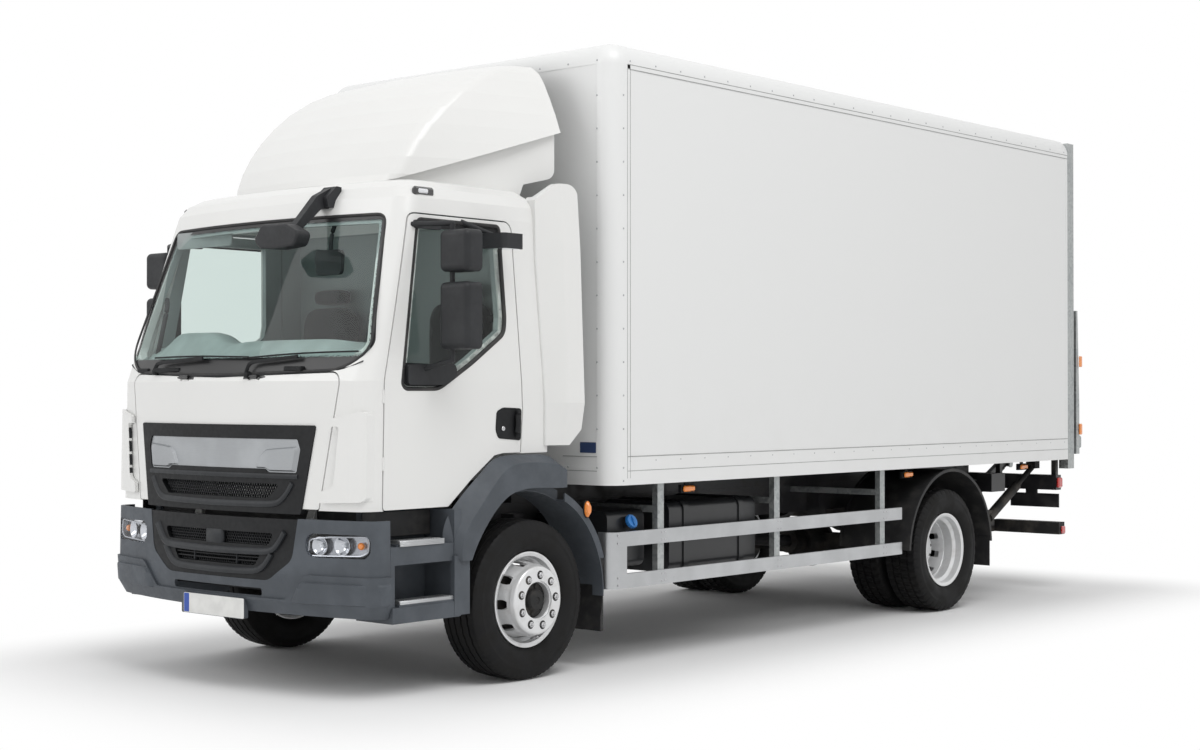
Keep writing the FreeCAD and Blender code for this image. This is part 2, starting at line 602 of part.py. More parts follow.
def wipers():
    """Two arms with blades parked along the bottom of the windscreen."""
    out = []
    for x_pivot, x_tip in ((720.0, -10.0), (-80.0, -800.0)):
        def at(x, z, off):
            front = -1288.0 + (z - 1660.0) * 0.348
            y = front - off + CAB_FRONT_R - math.sqrt(CAB_FRONT_R ** 2 - x * x)
            return (x, y, z)
        pivot = rod(at(x_pivot, 1734, 44), at(x_pivot, 1734, -1), 14)
        arm = rod(at(x_pivot, 1734, 36), at((x_pivot + x_tip) / 2, 1752, 36), 9)
        middle = at((x_pivot + x_tip) / 2, 1757, 30)
        blade = [rod(at(x_pivot - 40, 1757, 26), middle, 12), rod(middle, at(x_tip, 1757, 26), 12)]
        out.append(join([pivot, arm] + blade))
    return out


def front_mirror():
    """Kerb-view mirror on an arm from the roof edge above the windscreen."""
    arm = along_x([(-870, 2700, 0), (-905, 2712, 15), (-1010, 2660, 40), (-1172, 2478, 12),
                   (-1140, 2452, 12),
                   (-985, 2588, 30), (-870, 2600, 0)], 462, 512)
    pad = along_x([(-870, 2712, 0), (-905, 2716, 10), (-975, 2650, 20), (-965, 2598, 10),
                   (-870, 2598, 0)], 440, 545)
    head = along_y([(262, 2415, 30), (330, 2498, 45), (520, 2492, 60), (634, 2440, 30), (600, 2372, 45),
                    (440, 2360, 200), (310, 2370, 45)], -1250, -1150)
    head = head.makeFillet(14, [edge for edge in head.Edges if edge.BoundBox.YLength < 1])
    return join([arm, pad, head]).cut(form(ROOF_ROWS, -PIN_GAP))


MIRROR_IN = 1180.0
MIRROR_OUT = 1392.0


def mirror_housing(z0, z1):
    """Rounded shell, fuller at the front; the mirror glass is on its rear face."""
    shell = box(MIRROR_IN, MIRROR_OUT, -762, -560, z0, z1)
    shell = shell.makeFillet(32, shell.Edges)
    return shell.common(box(MIRROR_IN - 1, MIRROR_OUT + 1, -800, -645, z0 - 1, z1 + 1))


def mirrors(side):
    """Two housings on a post, held by a top arm and a bottom arm, plus a kerb mirror."""
    upper, lower = [mirror_housing(*rows) for rows in ((2232, 2452), (1826, 2178))]
    post = rod((1225, -700, 1770), (1225, -700, 2490), 14)
    top = join([rod((1015, -795, 2490), (1225, -700, 2490), 14),
                Part.makeSphere(14, Vector(1225, -700, 2490))])
    low = join([rod((1060, -760, 1720), (1225, -700, 1770), 14),
                Part.makeSphere(14, Vector(1225, -700, 1770))])
    base = along_x([(-880, 1640, 20), (-880, 1745, 20), (-430, 1760, 40), (-600, 1640, 20)], 1040, 1082)
    top_pad = along_x([(-790, 2470, 10), (-790, 2514, 10), (-600, 2514, 10), (-600, 2470, 10)], 1000, 1040)
    kerb_arm = rod((1012, -430, 2532), (1110, -250, 2455), 12)
    kerb = along_z([(1060, -330, 20), (1220, -300, 30), (1220, -130, 30), (1080, -160, 20)], 2385, 2468)
    pieces = [upper, lower, post, top, low, base, top_pad]
    if side > 0:
        pieces += [kerb_arm, kerb]
    body = join(pieces).cut(cab_form(-PIN_GAP))
    return body if side > 0 else other_side(body)


# ---------------------------------------------------------------- chassis
def channel(x_outer, side):
    """C-section rail with its web outside."""
    t = RAIL_T
    z0 = RAIL_TOP - RAIL_H
    rows = [(x_outer, z0, 0), (x_outer, RAIL_TOP, 0), (x_outer - RAIL_FLANGE, RAIL_TOP, 0),
            (x_outer - RAIL_FLANGE, RAIL_TOP - t, 0), (x_outer - t, RAIL_TOP - t, 0),
            (x_outer - t, z0 + t, 0),
            (x_outer - RAIL_FLANGE, z0 + t, 0), (x_outer - RAIL_FLANGE, z0, 0)]
    rail = along_y(rows, RAIL_FRONT, RAIL_REAR)
    return rail if side > 0 else other_side(rail)


CROSS_MEMBERS = (1150.0, WHEELBASE / 2 + 100, WHEELBASE - 900, WHEELBASE + 650, RAIL_REAR - 40)


def chassis_frame():
    parts = [channel(RAIL_X, 1), channel(RAIL_X, -1)]
    web = RAIL_X - RAIL_T + 1
    for y in CROSS_MEMBERS:
        parts.append(box(-web, web, y - 40, y + 40, RAIL_TOP - 130, RAIL_TOP - 30))
    parts.append(box(-720, 720, -1080, RAIL_FRONT + 20, 520, 640))
    for x in (-1, 1):
        parts.append(box(*sorted((x * (RAIL_X - RAIL_FLANGE), x * RAIL_X)), -1080, RAIL_FRONT + 60, 600,
                         RAIL_TOP - 40))
        tower = along_x([(TILT_Y - 35, TILT_Z + 35, 30), (TILT_Y - 35, TILT_Z - 35, 20), (-1075, 560, 0),
                         (-1000, 560, 0), (-1000, 800, 0), (TILT_Y + 35, TILT_Z + 35, 20)],
                        *sorted((x * (RAIL_X - 30), x * (RAIL_X + 30))))
        parts.append(tower)
        parts.append(rod((x * (RAIL_X + 15), TILT_Y, TILT_Z), (x * (RAIL_X + 105), TILT_Y, TILT_Z),
                         TILT_PIN_R))
        # rear cab rest
        parts.append(box(*sorted((x * (RAIL_X - 3), x * (RAIL_X + 55))), 100, 180, 780,
                         CAB_TAIL_Z - SEAT_GAP))
    return join(parts)


GEARBOX_REAR = 900.0


def engine_block():
    block = box(-ENGINE_HALF_W, ENGINE_HALF_W, -560, 330, 560, 1170)
    gearbox = along_x([(320, 620, 40), (320, 900, 40), (GEARBOX_REAR, 850, 30),
                       (GEARBOX_REAR, 660, 30)], -190, 190)
    radiator = box(-ENGINE_HALF_W - 20, ENGINE_HALF_W + 20, -700, -559, 600, 960)
    sump = box(-180, 180, -100, 250, 470, 561)
    feet = []
    for y in (-300, 200):
        reach = RAIL_X - RAIL_FLANGE - SEAT_GAP
        feet.append(box(-reach, reach, y, y + 60, RAIL_TOP - RAIL_H + 5, RAIL_TOP - RAIL_H + 45))
    return join([block, gearbox, radiator, sump] + feet)


SPRING_X = RAIL_X + 65


def front_axle():
    z = AXLE_Z
    beam = along_y([(-800, z - 50, 0), (-620, z - 120, 0), (620, z - 120, 0), (800, z - 50, 0),
                    (870, z - 45, 0),
                    (870, z + 45, 0), (790, z + 45, 0), (600, z - 20, 0), (-600, z - 20, 0),
                    (-790, z + 45, 0),
                    (-870, z + 45, 0), (-870, z - 45, 0)], -45, 45)
    parts = [beam]
    for x in (-KINGPIN_X, KINGPIN_X):
        parts.append(rod((x, 0, z - 70), (x, 0, z + 70), 45))
    beam = join(parts)
    for x in (-KINGPIN_X, KINGPIN_X):
        beam = beam.cut(rod((x, 0, z - 80), (x, 0, z + 80), KINGPIN_R + PIN_GAP))
    return beam


def leaf_spring(x, y, z_seat, half_length, hanger_z):
    """Pack of leaves as one arched solid with eyes, clamped on the axle."""
    rise = hanger_z - z_seat
    rows = [(y - half_length, hanger_z - 14, 0), (y - half_length * 0.5, z_seat + rise * 0.28, 0),
            (y, z_seat, 0),
            (y + half_length * 0.5, z_seat + rise * 0.28, 0), (y + half_length, hanger_z - 14, 0),
            (y + half_length, hanger_z + 14, 0), (y + half_length * 0.5, z_seat + rise * 0.28 + 42, 0),
            (y, z_seat + 60, 0), (y - half_length * 0.5, z_seat + rise * 0.28 + 42, 0),
            (y - half_length, hanger_z + 14, 0)]
    pack = along_x(rows, x - 35, x + 35)
    parts = [pack]
    for end in (-half_length, half_length):
        parts.append(rod((x - 38, y + end, hanger_z), (x + 38, y + end, hanger_z), 32))
        hanger = box(RAIL_X + SEAT_GAP, x + 38, y + end - 45, y + end + 45, hanger_z - 30, RAIL_TOP - 60)
        parts.append(hanger)
    return join(parts)


def leaf_springs():
    left = [leaf_spring(SPRING_X, 0, AXLE_Z - 19.5, 560, 640),
            leaf_spring(SPRING_X, WHEELBASE, AXLE_Z + 75.5, 600, 700)]
    return left + [other_side(s) for s in left]


def rear_axle():
    z = AXLE_Z
    y = WHEELBASE
    banjo = Part.makeSphere(190, Vector(0, y, z)).common(box(-200, 200, y - 150, y + 150, z - 200,
                                                             z + 200))
    tube = box(-560, 560, y - 70, y + 70, z - 75, z + 75)
    nose = rod((0, y - 300, z + 20), (0, y, z), 90)
    parts = [banjo, tube, nose]
    for s in (-1, 1):
        parts.append(rod((s * 520, y, z), (s * 590, y, z), 100))
        parts.append(rod((s * 585, y, z), (s * 700, y, z), 190))
        parts.append(rod((s * 690, y, z), (s * 1010, y, z), 45))
    shaft = rod((0, 880, 760), (0, y - 280, z + 20), 45)
    shaft = shaft.common(box(-60, 60, GEARBOX_REAR + SEAT_GAP, y - 307, 300, 900))
    return join(parts), shaft


def hub_knuckle(side):
    """Fork round the kingpin, brake drum and hub stub of a steered wheel."""
    z = AXLE_Z
    x = KINGPIN_X
    fork = [box(x - 40, x + 85, -55, 55, z + 75, z + 125), box(x - 40, x + 85, -55, 55, z - 125, z - 75),
            box(x + 55, x + 85, -55, 55, z - 125, z + 125)]
    pin = rod((x, 0, z - 130), (x, 0, z + 130), KINGPIN_R)
    drum = rod((x + 84, 0, z), (x + 150, 0, z), 185)
    stub = rod((x + 149, 0, z), (x + 262, 0, z), 45)
    arm = box(x - 20, x + 60, 40, 150, z - 122, z - 90)
    body = join(fork + [pin, drum, stub, arm])
    return body if side > 0 else other_side(body)


# ---------------------------------------------------------------- wheels
HOLES = 9
NUT_CIRCLE_R = 141.5
NUT_HOLE_R = 14.0
HAND_HOLE_R = 28.0
HAND_HOLE_CIRCLE_R = 208.0
BORE_R = 109.0
DISC_T = 12.0
TYRE_GAP = 0.3


def tyre(x, y):
    """Hollow tyre seated on the rim; the section's rows run round the carcass."""
    w = TYRE_W / 2
    r = TYRE_R
    bead = RIM_LIP_R - 14.5
    widest = RIM_LIP_R + WIDEST_SHARE * (r - RIM_LIP_R)
    half = [(w - 42, r, 30), (w - 4, r - 55, 60), (w, widest, 60), (RIM_HALF_W - 9, bead + 16, 12),
            (RIM_HALF_W - 9, bead, 0), (RIM_HALF_W - 27, bead, 4), (w - 24, widest - 5, 50),
            (w - 34, r - 60, 30), (w - 60, r - 24, 20)]
    return spun(half + [(-across, radius, bend) for across, radius, bend in reversed(half)], x, y, AXLE_Z)


def rim_band(x, y):
    """Drop-centre rim: flanges, bead seats and well."""
    h = RIM_HALF_W
    lip = RIM_LIP_R
    seat = lip - 15
    outer = [(-h, lip, 0), (-h + 6, lip, 0), (-h + 9, seat, 0), (-62, seat - 5, 0), (-46, seat - 26, 0),
             (46, seat - 26, 0), (62, seat - 5, 0), (h - 9, seat, 0), (h - 6, lip, 0), (h, lip, 0)]
    inner = [(h, lip - 9, 0), (h - 6, seat - 9, 0), (66, seat - 13, 0), (50, seat - 34, 0),
             (-50, seat - 34, 0),
             (-66, seat - 13, 0), (-h + 6, seat - 9, 0), (-h, lip - 9, 0)]
    return spun(outer + inner, x, y, AXLE_Z)


def wheel_disc(x, y, face, foot):
    """Dished disc: flat bolting face at x + face, foot welded in the well at x + foot."""
    s = 1 if face > foot else -1
    rows = [(face, BORE_R, 0), (face, NUT_CIRCLE_R + 46, 16), (face - s * 30, NUT_CIRCLE_R + 56, 20),
            (foot + s * 30, RIM_LIP_R - 52, 20), (foot, RIM_LIP_R - 45, 0), (foot, RIM_LIP_R - 58, 0),
            (foot + s * 30, RIM_LIP_R - 66, 20), (face - s * 38, NUT_CIRCLE_R + 42, 20),
            (face - s * DISC_T, NUT_CIRCLE_R + 34, 6),
            (face - s * DISC_T, BORE_R, 0)]
    disc = spun(rows, x, y, AXLE_Z)
    tools = []
    for i in range(HOLES):
        nut = math.radians(84 + i * 360 / HOLES)
        hand = math.radians(104 + i * 360 / HOLES)
        ny, nz = NUT_CIRCLE_R * math.cos(nut), NUT_CIRCLE_R * math.sin(nut)
        tools.append(rod((x + face - 60, y + ny, AXLE_Z + nz), (x + face + 60, y + ny, AXLE_Z + nz),
                         NUT_HOLE_R))
        hy, hz = HAND_HOLE_CIRCLE_R * math.cos(hand), HAND_HOLE_CIRCLE_R * math.sin(hand)
        middle = x + (face + foot) / 2
        tools.append(rod((middle - 70, y + hy * 0.86, AXLE_Z + hz * 0.86),
                         (middle + 30, y + hy * 1.04, AXLE_Z + hz * 1.04),
                         HAND_HOLE_R))
    return disc.cut(Part.makeCompound(tools))


def front_rim(side):
    x = FRONT_WHEEL_X
    band = rim_band(x, 0)
    disc = wheel_disc(x, 0, 195, 20)
    hub = ring((x + 80, 0, AXLE_Z), (x + 195 - DISC_T, 0, AXLE_Z), NUT_CIRCLE_R + 30, 45.5)
    hub = hub.cut(ring((x + 79, 0, AXLE_Z), (x + 145, 0, AXLE_Z), 200, BORE_R + 20))
    hub = hub.cut(rod((x + 135, 0, AXLE_Z), (x + 200, 0, AXLE_Z), BORE_R - 8))
    wheel = join([band, disc, hub])
    return wheel if side > 0 else other_side(wheel)


def rear_rims(side):
    y = WHEELBASE
    x0 = REAR_OUTER_X
    x1 = REAR_OUTER_X - TWIN_SPACING
    meet = (x0 + x1) / 2
    outer = join([rim_band(x0, y), wheel_disc(x0, y, meet - x0, -20)])
    inner = join([rim_band(x1, y), wheel_disc(x1, y, meet - x1, 20)])
    hub = ring((meet - 200, y, AXLE_Z), (meet + 95, y, AXLE_Z), BORE_R - 1, 45.5)
    flange = ring((meet - 14, y, AXLE_Z), (meet, y, AXLE_Z), BORE_R + 1, BORE_R - 2)
    cap = rod((meet + 94, y, AXLE_Z), (meet + 110, y, AXLE_Z), 70)
    wheel = join([outer, inner, hub, flange, cap])
    return wheel if side > 0 else other_side(wheel)


def tyres(side, centres, y):
    out = [tyre(x, y) for x in centres]
    return out if side > 0 else [other_side(t) for t in out]


# ---------------------------------------------------------------- bumper and steps
# height, front at the centre line, half width
BUMPER_ROWS = [(432.0, -1272.0, 1100.0), (500.0, -1308.0, 1128.0), (650.0, FRONT_END, 1132.0),
               (938.0, FRONT_END + 4, 1128.0)]
BUMPER_T = 34.0
BUMPER_STEP = 14.0
BUMPER_END_Y = STEP_FRONT - 3
LAMP_ROWS = [(690.0, 742.0, 55), (690.0, 866.0, 50), (1084.0, 866.0, 40), (1084.0, 744.0, 45)]
TROUGH_ROWS = mirrored([(641.0, 960.0, 0), (600.0, 720.0, 90), (430.0, 606.0, 120)])


def bumper_form(inset):
    wires = [plan_wire(z, f, h, BUMPER_END_Y + 300, inset, corner_r=100) for z, f, h in BUMPER_ROWS]
    return Part.makeLoft(wires, True, True)


def bumper():
    shell = bumper_form(0).cut(bumper_form(BUMPER_T)).common(box(-1200, 1200, -1400, BUMPER_END_Y, 380,
                                                                 960))
    # the part above the step line is set back; the line dips between the two lower corners
    above = along_y(mirrored([(1300.0, 1000.0, 0), (1300.0, 650.0, 0), (700.0, 650.0, 70),
                              (560.0, 512.0, 50)]),
                    -1500, -900)
    shell = shell.cut(above.common(bumper_form(-1).cut(bumper_form(BUMPER_STEP))))
    shell = shell.cut(along_y(TROUGH_ROWS, -1500, -900))
    shell = shell.cut(along_y([(-379, 520, 15), (379, 520, 15), (379, 562, 15), (-379, 562, 15)], -1500,
                              -900))
    for lamp in both_sides(along_y(LAMP_ROWS, -1500, -1041)):
        shell = shell.cut(lamp)
    stays = []
    for x in (-690, 640):
        stays.append(box(x, x + 50, -1230, -1080.4, 585, 640))
    plinth = along_y([(-260, 392, 8), (260, 392, 8), (260, 503, 8), (-260, 503, 8)], FRONT_END, -1275)
    return join([shell, plinth] + stays)


def headlamps():
    lens = bumper_form(BUMPER_STEP + 4).cut(bumper_form(BUMPER_T + 40))
    lens = lens.common(along_y(grown(LAMP_ROWS, -0.3), -1500, -1045))
    return [s for s in both_sides(lens)]


def lower_grille():
    tray = bumper_form(BUMPER_STEP + 2).cut(bumper_form(BUMPER_STEP + 26))
    tray = tray.common(along_y(grown(TROUGH_ROWS, -0.3), -1500, -1000)).common(box(-700, 700, -1500,
                                                                                   -900, 600, 934))
    upper = mirrored([(470.0, 856.0, 15), (430.0, 790.0, 30)])
    lower = mirrored([(380.0, 745.0, 15), (330.0, 680.0, 40)])
    tray = tray.cut(along_y(upper, -1500, -900)).cut(along_y(lower, -1500, -900))
    slats = [box(-600, 600, -1400, -1200, z, z + 6) for z in (800, 820, 840, 700, 720)]
    slats.append(box(-70, 70, -1400, -1200, 785, 860))
    core = bumper_form(BUMPER_STEP + 10).cut(bumper_form(BUMPER_STEP + 22))
    fill = core.common(along_y(upper, -1500, -900).fuse(along_y(lower, -1500, -900)))
    return tray.fuse(fill.common(Part.makeCompound(slats)))


def wheel_arch(rear_lip):
    """Flared arch over the wheel: its outer face is narrower than its root against the cab."""
    opening = [(rear_lip, 700.0), (-416.0, 806.0), (-339.0, 905.0), (-261.0, 982.0), (-166.0, 1040.0),
               (-61.0, 1064.0), (103.0, 1066.0), (290.0, 1062.0)]
    root = [(290.0, 1196.0), (225.0, 1236.0), (110.0, 1252.0), (-60.0, 1253.0), (-170.0, 1247.0),
            (-240.0, 1228.0),
            (-318.0, 1172.0), (-405.0, 1104.0), (-500.0, 1024.0), (-565.0, 960.0), (STEP_REAR - 60, 700.0)]
    crown = [(290.0, 1160.0), (225.0, 1190.0), (110.0, 1206.0), (-60.0, 1210.0), (-160.0, 1196.0),
             (-225.0, 1164.0),
             (-300.0, 1100.0), (-375.0, 1020.0), (-450.0, 940.0), (-500.0, 880.0), (STEP_REAR - 15, 700.0)]
    wires = []
    for x, upper in ((1072.0, root), (FLARE_X, crown)):
        low, top = [Part.BSplineCurve() for _ in range(2)]
        low.interpolate([Vector(x, y, z) for y, z in opening])
        top.interpolate([Vector(x, y, z) for y, z in upper])
        ends = [Part.makeLine(Vector(x, *opening[-1]), Vector(x, *upper[0])),
                Part.makeLine(Vector(x, *upper[-1]), Vector(x, *opening[0]))]
        wires.append(Part.Wire([low.toShape(), ends[0], top.toShape(), ends[1]]))
    return Part.makeLoft(wires, True, True)


def step_well():
    rear_lip = STEP_REAR + 55
    parts = [
        box(850, 890, STEP_FRONT, STEP_REAR, STEP_BOTTOM, 975),
        along_x([(STEP_FRONT, STEP_BOTTOM, 0), (STEP_REAR, STEP_BOTTOM, 25),
                 (STEP_REAR, STEP_LOWER_Z - 12, 0),
                 (STEP_FRONT, STEP_LOWER_Z - 12, 0)], 850, STEP_X + 15),
        box(850, FLARE_X - 30, STEP_REAR - 50, STEP_REAR, STEP_BOTTOM + 10, 975),
        box(850, STEP_X, STEP_FRONT, STEP_REAR, 705, STEP_UPPER_Z - 12),
        box(850, STEP_X, STEP_FRONT, STEP_FRONT + 28, STEP_BOTTOM, STEP_UPPER_Z - 12),
        box(FLARE_X - 50, FLARE_X - 18, STEP_REAR - 60, rear_lip, STEP_BOTTOM + 8, 730),
        box(880, STEP_X - 8, -985, -640, STEP_UPPER_Z - 12, STEP_UPPER_Z),
        box(880, STEP_X + 10, -985, -560, STEP_LOWER_Z - 12, STEP_LOWER_Z),
    ]
    parts.append(wheel_arch(rear_lip))
    house = ring((850, 0, AXLE_Z), (1080, 0, AXLE_Z), HOUSE_R + 8, HOUSE_R)
    house = house.common(along_x([(STEP_REAR - 10, 731, 0), (STEP_REAR - 10, 1300, 0), (640, 1300, 0),
                                  (640, 480, 0),
                                  (520, 480, 0), (0, 731, 0)], 840, 1100))
    parts.append(house)
    # behind the wheel the housing comes out to the full width, with a turned-in lip
    tail = [ring((1070, 0, AXLE_Z), (FLARE_X, 0, AXLE_Z), HOUSE_R + 8, HOUSE_R),
            ring((FLARE_X - 10, 0, AXLE_Z), (FLARE_X, 0, AXLE_Z), HOUSE_R + 42, HOUSE_R)]
    for piece, foot in zip(tail, (420, 640)):
        parts.append(piece.common(along_x([(270, 820, 0), (270, 1150, 0), (660, 1150, 0), (660, foot, 0),
                                           (540, foot, 0)], 1060, 1200)))
    # web from the housing up to the flare
    web = ring((1060, 0, AXLE_Z), (1074, 0, AXLE_Z), HOUSE_R + 60, HOUSE_R).common(
        box(1050, 1100, STEP_REAR - 10, 290, 700, 1180))
    parts.append(web)
    return join(parts)


def step_wells():
    well = step_well()
    bracket = box(RAIL_X + SEAT_GAP, 851, -900, -840, 760, 820)
    well = well.fuse(bracket)
    return both_sides(well)


def front_mudflaps():
    flap = box(860, 1140, HOUSE_R - 10, HOUSE_R + 15, 215, 640)
    flap = flap.cut(rod((850, 0, AXLE_Z), (1200, 0, AXLE_Z), HOUSE_R + 8 + SEAT_GAP))
    return both_sides(flap)


# ---------------------------------------------------------------- side equipment
GUARD_X = BOX_HALF_W - 50
GUARD_NOSE = HOUSE_R + 25
GUARD_FRONT = GUARD_NOSE + 134      # where the curved nose plate meets the planks
GUARD_REAR = WHEELBASE - 606
GUARD_PLANKS = ((455.0, 540.0), (700.0, 785.0))
PLANK_T = 22.0
POST_T = 40.0
POSTS_Y = (GUARD_FRONT + 341, GUARD_FRONT + 1541, GUARD_REAR - 224)
BATTERY_ROWS = (1250.0, 1850.0)
MAIN_TANK_ROWS = (POSTS_Y[0] + 190, POSTS_Y[1] - 120)      # between the first two posts
SMALL_TANK_ROWS = (GUARD_FRONT - 39, POSTS_Y[0] - 40)
SILENCER_LENGTH = 840.0
GUARD_WHEEL_Y = WHEELBASE + 30
GUARD_WHEEL_R = TYRE_R + 124.5
HANGER_TURN = 44.475        # hangers of the rear mudguard, from upright about the wheel


def side_guard():
    """Two planks joined at the front by a curved nose plate."""
    parts = [box(GUARD_X - PLANK_T, GUARD_X, GUARD_FRONT - 40, GUARD_REAR, *rows) for rows in GUARD_PLANKS]
    nose = [(GUARD_X, GUARD_FRONT, 0), (GUARD_X, GUARD_NOSE, 70), (GUARD_X - 110, GUARD_NOSE, 0),
            (GUARD_X - 110, GUARD_NOSE + 12, 0), (GUARD_X - 12, GUARD_NOSE + 12, 58),
            (GUARD_X - 12, GUARD_FRONT, 0)]
    parts.append(along_z(nose, GUARD_PLANKS[0][0], GUARD_PLANKS[1][1]))
    return join(parts)


def guard_posts():
    """Galvanised posts behind the planks, each on an arm from the chassis rail."""
    out = []
    outer = GUARD_X - PLANK_T - SEAT_GAP
    for y in POSTS_Y:
        post = box(outer - POST_T, outer, y - 30, y + 30, GUARD_PLANKS[0][0], BOX_BOTTOM - SEAT_GAP)
        hollow = box(outer - POST_T - 1, outer - 5, y - 25, y + 25, GUARD_PLANKS[0][0] - 1, 870)
        arm = box(RAIL_X + SEAT_GAP, outer - 10, y - 25, y + 25, 880, 920)
        out.append(join([post.cut(hollow), arm]))
    return out


def fuel_tanks():
    main = along_y([(560, 500, 60), (560, 930, 60), (1090, 930, 60), (1090, 500, 60)], *MAIN_TANK_ROWS)
    straps = []
    for y in (MAIN_TANK_ROWS[0] + 160, MAIN_TANK_ROWS[1] - 160):
        strap = along_y([(552, 492, 60), (552, 938, 60), (1098, 938, 60), (1098, 492, 60)], y - 25, y + 25)
        straps.append(strap)
        straps.append(box(RAIL_X + SEAT_GAP, 570, y - 30, y + 30, 740, 900))
    small = along_y([(620, 560, 50), (620, 900, 50), (1080, 900, 50), (1080, 560, 50)], *SMALL_TANK_ROWS)
    y = SMALL_TANK_ROWS[1] - 160
    cap = rod((1000, y, 780), (1118, y, 835), 38)
    hold = box(RAIL_X + SEAT_GAP, 630, y - 60, y, 740, 860)
    return [join([main] + straps), join([small, cap, hold])]


def side_boxes():
    """Battery box, silencer between it and the rear wheel, and the tail lift's small box behind that
    wheel."""
    battery = box(-1090, -560, *BATTERY_ROWS, 520, 900)
    lid = box(-1096, -554, BATTERY_ROWS[0] - 6, BATTERY_ROWS[1] + 6, 860, 880)
    arms = [box(-570, -RAIL_X - SEAT_GAP, y, y + 60, 740, 850)
            for y in (BATTERY_ROWS[0] + 50, BATTERY_ROWS[1] - 110)]
    centre = (BATTERY_ROWS[1] + GUARD_WHEEL_Y - GUARD_WHEEL_R) / 2 - 44
    front, rear = centre - SILENCER_LENGTH / 2, centre + SILENCER_LENGTH / 2
    silencer = rod((-820, front, 680), (-820, rear, 680), 185)
    ends = [edge for edge in silencer.Edges if edge.BoundBox.YLength < 1]
    silencer = silencer.makeFillet(25, ends)
    clamps = [box(-660, -RAIL_X - SEAT_GAP, y, y + 60, 700, 860) for y in (front + 90, rear - 170)]
    straps = [ring((-820, y + 10, 680), (-820, y + 50, 680), 191, 180) for y in (front + 90, rear - 170)]
    y = WHEELBASE + 790
    pump = box(1010, 1140, y, y + 210, 835, 975)
    pump_arm = box(RAIL_X + SEAT_GAP, 1015, y + 30, y + 80, 860, 920)
    return [join([battery, lid] + arms), join([silencer] + clamps + straps), join([pump, pump_arm])]


def rear_mudguard():
    front, rear = GUARD_WHEEL_Y - 2 * GUARD_WHEEL_R, GUARD_WHEEL_Y + 2 * GUARD_WHEEL_R
    arch = ring((640, GUARD_WHEEL_Y, AXLE_Z), (1235, GUARD_WHEEL_Y, AXLE_Z), GUARD_WHEEL_R + 14,
                GUARD_WHEEL_R)
    arch = arch.common(box(600, 1240, front, rear, AXLE_Z + 30, 1200))
    ribs = []
    for x in (640.0, 1215.0):
        rib = ring((x, GUARD_WHEEL_Y, AXLE_Z), (x + 20, GUARD_WHEEL_Y, AXLE_Z), GUARD_WHEEL_R + 22,
                   GUARD_WHEEL_R)
        ribs.append(rib.common(box(600, 1240, front, rear, AXLE_Z + 30, BOX_BOTTOM - 2)))
    flap = box(640, 1225, GUARD_WHEEL_Y + GUARD_WHEEL_R - 6, GUARD_WHEEL_Y + GUARD_WHEEL_R + 4, 290,
               AXLE_Z + 60)
    turn = math.radians(HANGER_TURN)
    reach, z = (GUARD_WHEEL_R + 11) * math.sin(turn), AXLE_Z + (GUARD_WHEEL_R + 11) * math.cos(turn)
    hanger = [rod((RAIL_X + SEAT_GAP, y, z), (655, y, z), 16)
              for y in (GUARD_WHEEL_Y - reach, GUARD_WHEEL_Y + reach)]
    return join([arch] + ribs + [flap] + hanger)


# ---------------------------------------------------------------- box body
def box_floor():
    y0 = BOX_FRONT + BOX_WALL + SEAT_GAP
    y1 = BOX_REAR
    top = BOX_BOTTOM + BEARER_H + FLOOR_T
    half = BOX_HALF_W - BOX_WALL - 6
    parts = [box(-half, half, y0, y1, top - FLOOR_T, top)]
    count = 14
    pitch = (y1 - y0 - 80) / (count - 1)
    for i in range(count):
        y = y0 + i * pitch
        parts.append(box(-half, half, y, y + 60, BOX_BOTTOM, top - FLOOR_T + 1))
    for x in (-RAIL_X, RAIL_X - 65):
        parts.append(box(x, x + 65, y0, RAIL_REAR, RAIL_TOP + SEAT_GAP, BOX_BOTTOM + 1))
    return join(parts).common(rounded_block(BOX_WALL + SEAT_GAP, RAIL_TOP, BOX_REAR + 10))


def rounded_block(inset, z0, y1):
    """Front-to-rear block with rounded front corners and rounded top edges."""
    r = BOX_CORNER_R - inset
    w = BOX_HALF_W - inset
    block = box(-w, w, BOX_FRONT + inset, y1, z0, BOX_TOP - inset)
    uprights = [e for e in block.Edges if abs(e.BoundBox.ZLength) > 100 and e.BoundBox.YMax < BOX_FRONT
                + inset + 1]
    block = block.makeFillet(r, uprights)
    rim = [e for e in block.Edges if e.BoundBox.ZMin > BOX_TOP - inset - 1 and e.BoundBox.YMin < y1 - 1]
    return block.makeFillet(r, rim)


def box_shell():
    solid = rounded_block(0, BOX_BOTTOM, BOX_REAR)
    return solid.cut(rounded_block(BOX_WALL, BOX_BOTTOM - 10, BOX_REAR + 50))


